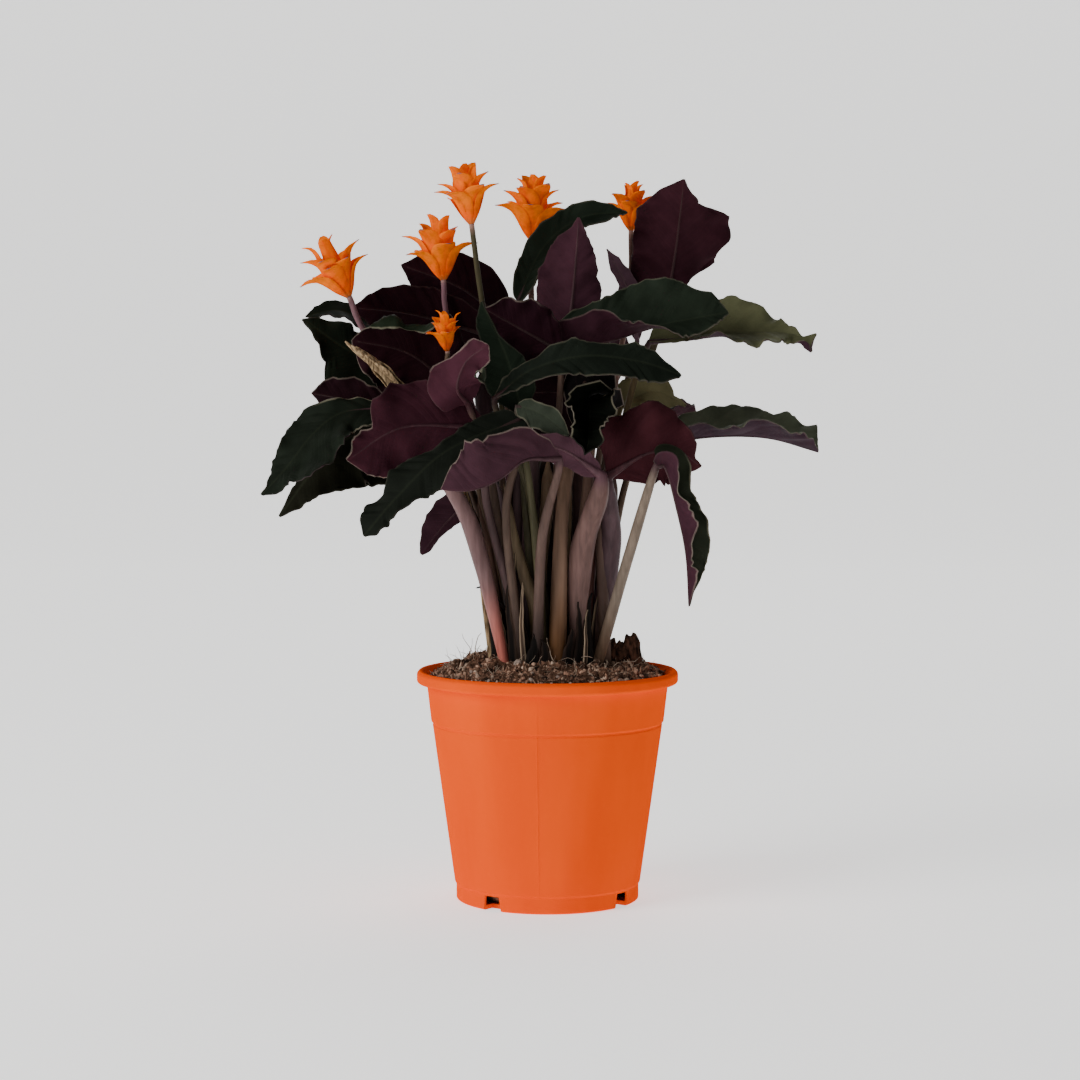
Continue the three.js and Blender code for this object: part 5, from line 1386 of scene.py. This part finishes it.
# %% Scatter tree
STREWN_ABOVE = 120.5      # mm: nothing is strewn on the root ball's wall
STEEPEST = 0.2            # upward part of the steepest face's direction
MOSTLY_SMALL = 2.5        # power that makes large shapes rare


def scatter_tree():
    """Strews the shapes of a collection over the upward faces of the surface."""
    tree, given = begin_tree("strewn_on_soil", [
        ("Surface", "Geometry"), ("Shapes", "Collection"), ("Density", "Float"),
        ("Smallest", "Float"), ("Largest", "Float"), ("Tilt", "Float"), ("Reach", "Float"),
        ("Seed", "Int"), ("Finish", "Material")])
    normal = add(tree, "GeometryNodeInputNormal", out=0)
    slope = add(tree, "ShaderNodeSeparateXYZ", {0: normal}, out=2)
    spot = add(tree, "ShaderNodeSeparateXYZ", {0: add(tree, "GeometryNodeInputPosition", out=0)})
    flat = add(tree, "ShaderNodeCombineXYZ", {0: spot.outputs[0], 1: spot.outputs[1]}, out=0)
    away = add(tree, "ShaderNodeVectorMath", {0: flat}, out="Value", operation="LENGTH")
    chosen = True
    for value, limit, operation in ((slope, STEEPEST, "GREATER_THAN"),
                                    (spot.outputs[2], STREWN_ABOVE * MM, "GREATER_THAN"),
                                    (away, given["Reach"], "LESS_THAN")):
        test = add(tree, "FunctionNodeCompare", {0: value, 1: limit}, out=0, operation=operation)
        chosen = add(tree, "FunctionNodeBooleanMath", {0: chosen, 1: test}, out=0,
                     operation="AND")
    spots = add(tree, "GeometryNodeDistributePointsOnFaces",
                {"Mesh": given["Surface"], "Selection": chosen, "Density": given["Density"],
                 "Seed": given["Seed"]})
    shapes = add(tree, "GeometryNodeCollectionInfo", {0: given["Shapes"], 1: True, 2: True})
    index = add(tree, "GeometryNodeInputIndex", out=0)
    seeds = [add(tree, "ShaderNodeMath", {0: given["Seed"], 1: float(k)}, out=0)
             for k in (1, 2, 3)]
    tilt = add(tree, "ShaderNodeCombineXYZ", {0: given["Tilt"], 1: given["Tilt"], 2: math.pi},
               out=0)
    back = add(tree, "ShaderNodeVectorMath", {0: tilt, 1: (-1, -1, -1)}, out=0,
               operation="MULTIPLY")
    turn = add(tree, "FunctionNodeRandomValue", {0: back, 1: tilt, "ID": index, "Seed": seeds[0]},
               out=0, data_type="FLOAT_VECTOR")
    even = add(tree, "FunctionNodeRandomValue", {2: 0.0, 3: 1.0, "ID": index, "Seed": seeds[1]},
               out=1, data_type="FLOAT")
    mostly_small = add(tree, "ShaderNodeMath", {0: even, 1: MOSTLY_SMALL}, out=0,
                       operation="POWER")
    size = add(tree, "ShaderNodeMapRange", {"Value": mostly_small, 3: given["Smallest"],
               4: given["Largest"]}, out=0)
    number = add(tree, "FunctionNodeRandomValue", {2: 0.0, 3: 1.0, "ID": index, "Seed": seeds[2]},
                 out=1, data_type="FLOAT")
    strewn = add(tree, "GeometryNodeInstanceOnPoints",
                 {"Points": spots.outputs[0], "Instance": shapes.outputs[0], "Pick Instance": True,
                  "Rotation": turn, "Scale": size})
    pick = add(tree, "GeometryNodeStoreNamedAttribute",
               {"Geometry": strewn.outputs[0], "Name": "pick", "Value": number},
               data_type="FLOAT", domain="INSTANCE")
    return end_tree(tree, pick.outputs[0], given["Finish"])


SCATTER = scatter_tree()
print("nodes in the scatter tree:", len(SCATTER.nodes))

# %% [markdown]
# Six crumb shapes of 20 faces are enough, because each copy is turned another way. Pebbles
# are rounder. The root ends are short bent tubes that start just under the surface.

# %% Shapes to strew
def lump(name, seed, rough, stretch, levels=1):
    """A closed irregular lump about one unit across."""
    work = bmesh.new()
    bmesh.ops.create_icosphere(work, subdivisions=levels, radius=0.5)
    for v in work.verts:
        v.co *= 1 + rough * noise.noise(v.co * 2.7 + Vector((seed, seed, 0)))
        v.co = Vector(a * b for a, b in zip(v.co, stretch))
    mesh = bpy.data.meshes.new(name)
    work.to_mesh(mesh)
    work.free()
    mesh.shade_smooth()
    return bpy.data.objects.new(name, mesh)


def root_end(name, seed, droop=0.16, loose=0.42, bends=7, thick=0.024):
    """A thin root that leaves the soil, bends at random and tapers, one unit long."""
    chance = np.random.default_rng(seed)
    way = np.array([chance.uniform(-0.4, 0.4), chance.uniform(-0.4, 0.4), 0.7])
    centres = [np.array([0, 0, -0.12])]
    for _ in range(bends):
        way = unit(way + chance.normal(0, loose, 3) - np.array([0, 0, droop]))
        centres.append(centres[-1] + way / bends)
    fine = np.linspace(0, 1, 7)
    path = along(centres, fine)
    points, faces, _ = tube(path, mix(thick, 0.36 * thick, fine), np.array([1.0, 0.1, 0]),
                            sides=4)
    return bpy.data.objects.new(name, mesh_from(name, points, faces))


def shape_box(name, objects):
    """A collection that only lends its shapes: it isn't part of the scene."""
    collection = bpy.data.collections.new(name)
    for item in objects:
        collection.objects.link(item)
    return collection


CRUMB_STRETCHES = [(1, 0.8, 0.7), (1.2, 0.7, 0.5), (0.8, 0.9, 0.8), (1.7, 0.4, 0.3),
                   (0.9, 0.7, 0.9), (2.2, 0.3, 0.25)]
CRUMBS = shape_box("crumb_shapes", [lump(f"crumb_{k}", 3.1 * k, 0.85, stretch)
                                    for k, stretch in enumerate(CRUMB_STRETCHES)])
PEBBLES = shape_box("pebble_shapes", [lump(f"pebble_{k}", 7.7 * k, 0.25, (1, 0.8, 0.65), 2)
                                      for k in range(2)])
ROOTS = shape_box("root_shapes", [root_end(f"root_{k}", 40 + k) for k in range(5)])
WIRES = shape_box("wiry_root_shapes", [root_end(f"wire_{k}", 60 + k, -0.05, 0.25, thick=0.014)
                                       for k in range(4)])

# %% [markdown]
# The soil is then five layers in one piece: the mound, many crumbs, a few pebbles, a beard
# of root ends and some longer, wiry roots. Joined, they stand for the model's one solid.

# %% Soil piece
LAYERS = [   # name, shapes, number per square metre, smallest and largest in mm, tilt in
             # radians, reach from the middle in mm, seed and finish
    ("crumbs", CRUMBS, 410000.0, 0.7, 4.2, math.pi, 64, 5, PEAT),
    ("pebbles", PEBBLES, 1500.0, 2.5, 6.5, math.pi, 60, 17, PEBBLE),
    ("root_ends", ROOTS, 56000.0, 3, 10, 1.4, 58, 29, ROOT),
    ("long_roots", WIRES, 9000.0, 8, 25, 1.0, 56, 31, ROOT)]


def strewn(name, shapes, density, smallest, largest, tilt, reach, seed, finish):
    """One layer of shapes strewn on the mound."""
    return link(name, run_tree(name, mound, SCATTER, Shapes=shapes, Density=density,
                               Smallest=smallest * MM, Largest=largest * MM, Tilt=tilt,
                               Reach=reach * MM, Seed=seed, Finish=finish))


def join(name, pieces):
    """Joins the objects into the first and names it."""
    with bpy.context.temp_override(active_object=pieces[0], selected_editable_objects=pieces,
                                   selected_objects=pieces, object=pieces[0]):
        bpy.ops.object.join()
    pieces[0].name = pieces[0].data.name = name
    return pieces[0]


layers = [strewn(*row) for row in LAYERS]
keep_value(mound.data, "pick", np.full(len(mound.data.vertices), 0.2))
mound.data.materials.append(PEAT)
soil = join("soil_fine", [mound] + layers)
finish_piece(soil, ["soil"])
print("soil triangles:", sum(len(p.vertices) - 2 for p in soil.data.polygons))

# %% [markdown]
# ## Bark
# A flake of pine bark stands slantwise in the soil. Bark splits into plates, so its top
# edge is ragged and its faces are ridged along the grain. A shell over a warped grid of
# points gives both.

# %% Bark flake
BARK_PLACE, BARK_TURN = (41, -8), 12     # mm, degrees
BARK_FOOT, BARK_TOP, BARK_THICK = -6, 13, 2.6
BARK_HALF = [8.6, 9.6, 8.8, 6.6]         # mm: half widths at the heights below
BARK_HEIGHTS = [BARK_FOOT, 4, 10, BARK_TOP]


def turned_round(points, degrees):
    """The points turned round the z axis."""
    turn = Matrix.Rotation(math.radians(degrees), 3, "Z")
    return np.array(points, float) @ np.array(turn.transposed())


def bark_flake(rows=26, columns=22):
    """A curved, ridged flake with a ragged top, about 20 by 19 mm."""
    grid = np.zeros((rows, columns, 3))
    for i, z in enumerate(np.linspace(BARK_FOOT, BARK_TOP, rows)):
        half = float(np.interp(z, BARK_HEIGHTS, BARK_HALF))
        raggedness = max(0, (z - BARK_FOOT) / (BARK_TOP - BARK_FOOT)) ** 3
        for j, x in enumerate(np.linspace(-1, 1, columns)):
            ragged = (2.0 * x + 4.0 * noise.noise(Vector((x * 5.0, 0.5, 2.0)))) * raggedness
            ridge = (0.9 * noise.noise(Vector((x * 3.5, z / 12, 1.0)))
                     + 0.4 * noise.noise(Vector((x * 9.0, z / 3, 4.0))))
            grid[i, j] = (x * half, 0.09 * z * x + ridge, z + ragged - 0.6)
    points, faces, _, _ = shell(grid, BARK_THICK / 2)
    points = turned_round(points, BARK_TURN) + np.array([*BARK_PLACE, soil_top(*BARK_PLACE)])
    mesh = mesh_from("bark_flake_fine", points * MM, faces)
    mesh.materials.append(BARK_SKIN)
    return finish_piece(link("bark_flake_fine", mesh), ["bark_flake"])


bark = bark_flake()
print("bark faces:", len(bark.data.polygons))

# %% [markdown]
# ## The pot
# A nursery pot is thin injection-moulded polypropylene: a tapering wall with a rolled rim,
# a step round it, and a smaller foot with notches that let water out. It is the same all
# round, so its profile is spun, and the notches are cut out with boxes. The mould's
# parting line is a fine ridge down the wall.

# %% Pot shape
POT_HEIGHT, RIM_RADIUS, RIM_LOW = 125, 71, 118.2    # mm
WALL_TOP, WALL_FOOT, WALL = 65.6, 50.5, 1.6         # its radius at the rim and foot, thickness
FOOT_RADIUS, FOOT_HEIGHT, POT_FLOOR = 49.7, 9.3, 2.4
GROOVE, STEP_OUT = 0.35, 0.6                        # a shallow groove under a small step
SEAM, SEAM_HEIGHT, SEAM_WIDTH = math.radians(-95.3), 0.18, 0.003    # radians, mm, radians
DRAINS = [-36.6, 53.4, 143.4, 233.4]                # degrees round the foot
DRAIN_SECTION = [(-1.5, 6.0), (8.0, 4.4)]           # height and half width of a notch
DRAIN_OUTSIDE, DRAIN_INSIDE = -56, -42              # mm: the cutter's ends at the front


def rounded(corners, radius, steps=4):
    """A profile with each corner replaced by a short arc."""
    line = [corners[0]]
    for before, corner, after in zip(corners, corners[1:], corners[2:]):
        a, b, c = (np.array(p, float) for p in (before, corner, after))
        cut = min(radius, 0.45 * np.linalg.norm(a - b), 0.45 * np.linalg.norm(c - b))
        start, end = b + unit(a - b) * cut, b + unit(c - b) * cut
        for t in np.linspace(0, 1, steps + 1):
            line.append(tuple((1 - t) ** 2 * start + 2 * t * (1 - t) * b + t * t * end))
    return line + [corners[-1]]


def wall(z):
    """The wall's outer radius at a height."""
    return mix(WALL_FOOT, WALL_TOP, (z - FOOT_HEIGHT) / (RIM_LOW - FOOT_HEIGHT))


def pot_mesh(sides=192):
    """The spun pot, with a fine parting ridge in its upper wall."""
    corners = [(FOOT_RADIUS - 1.2, 0), (FOOT_RADIUS, 0.6), (FOOT_RADIUS, FOOT_HEIGHT - 0.5),
               (WALL_FOOT, FOOT_HEIGHT + 0.3), (wall(40), 40), (wall(70), 70), (wall(95.3), 95.3),
               (wall(96) - GROOVE, 95.8), (wall(96) - GROOVE, 96.7),
               (wall(96.5) + STEP_OUT, 97.2), (WALL_TOP, RIM_LOW - 0.2),
               (RIM_RADIUS - 0.8, RIM_LOW), (RIM_RADIUS, RIM_LOW + 1),
               (RIM_RADIUS, POT_HEIGHT - 1.6), (RIM_RADIUS - 1.4, POT_HEIGHT),
               (RIM_RADIUS - 2.8, POT_HEIGHT - 0.2), (WALL_TOP - WALL + 0.4, RIM_LOW + 1.5),
               (wall(60) - WALL, 60), (WALL_FOOT - WALL, FOOT_HEIGHT),
               (FOOT_RADIUS - WALL, POT_FLOOR)]
    line = rounded([(0, 0)] + corners + [(0, POT_FLOOR)], 0.7)
    turns = sorted(list(2 * np.pi * np.arange(sides) / sides - np.pi)
                   + [SEAM + k * 0.0025 for k in (-2, -1, 0, 1, 2)])
    points = [(0, 0, 0)]
    for radius, z in line[1:-1]:
        seamed = radius > WALL_FOOT - 0.5 and 10 < z < 117
        for a in turns:
            r = radius + SEAM_HEIGHT * math.exp(-((a - SEAM) / SEAM_WIDTH) ** 2) * seamed
            points.append((r * math.cos(a), r * math.sin(a), z))
    points.append((0, 0, POT_FLOOR))
    points = np.array(points)
    faces = ring_faces(len(line) - 2, len(turns), 1, 0, len(points) - 1)
    return mesh_from("pot_fine", points * MM, outward(points, faces))


def notch_box(angle):
    """A cutter for one drain notch: open below, its sides sloping in towards the top."""
    points = [(x, y, z) for z, half in DRAIN_SECTION
              for x, y in ((-half, DRAIN_OUTSIDE), (half, DRAIN_OUTSIDE),
                           (half, DRAIN_INSIDE), (-half, DRAIN_INSIDE))]
    faces = [(3, 2, 1, 0), (4, 5, 6, 7)]
    faces += [(k, (k + 1) % 4, 4 + (k + 1) % 4, 4 + k) for k in range(4)]
    points = turned_round(points, angle)
    return link("notch", mesh_from("notch", points * MM, outward(points, faces), smooth=False))


pot = link("pot_fine", pot_mesh())
for angle in DRAINS:
    cutter = notch_box(angle)
    cut = pot.modifiers.new("drain_notch", "BOOLEAN")
    cut.operation, cut.object, cut.solver = "DIFFERENCE", cutter, "EXACT"
    shape = as_made(pot)
    pot.modifiers.clear()
    pot.data = shape
    bpy.data.objects.remove(cutter)
pot.data.name = "pot_fine"
print("pot faces:", len(pot.data.polygons))

# %% [markdown]
# Moulded polypropylene is semi-matt with a soft broad highlight. Pigment is never quite
# even, so faint flow streaks run up the wall, and handling leaves dust and fine scuffs.

# %% Pot material
def pot_material():
    """Moulded polypropylene with flow streaks, dust and scuffs."""
    material, tree, shader = new_material("moulded_orange_polypropylene", 0.45, ior=1.49,
                                          Specular_IOR_Level=0.0)
    flow = add(tree, "ShaderNodeMapRange", {"Value": speckle(tree, 30, 3, (1, 1, 0.2)),
               1: 0.35, 2: 0.65}, out=0)
    colour = add(tree, "ShaderNodeMix", {0: flow, 6: linear("#f04d00"), 7: linear("#f95400")},
                 out=2, data_type="RGBA")
    dust = add(tree, "ShaderNodeMapRange", {"Value": speckle(tree, 2.5, 5), 1: 0.58, 2: 0.78,
               4: 0.12}, out=0)
    colour = add(tree, "ShaderNodeMix", {0: dust, 6: colour, 7: linear("#ff6600")}, out=2,
                 data_type="RGBA")
    tree.links.new(colour, shader.inputs["Base Color"])
    rough = add(tree, "ShaderNodeMapRange", {"Value": speckle(tree, 6, 4), 3: 0.38, 4: 0.55},
                out=0)
    tree.links.new(rough, shader.inputs["Roughness"])
    roughened(tree, shader, speckle(tree, 0.8, 2), 0.03)
    return material


pot.data.materials.clear()
pot.data.materials.append(pot_material())
finish_piece(pot, ["pot"])
print("pot material:", pot.data.materials[0].name)
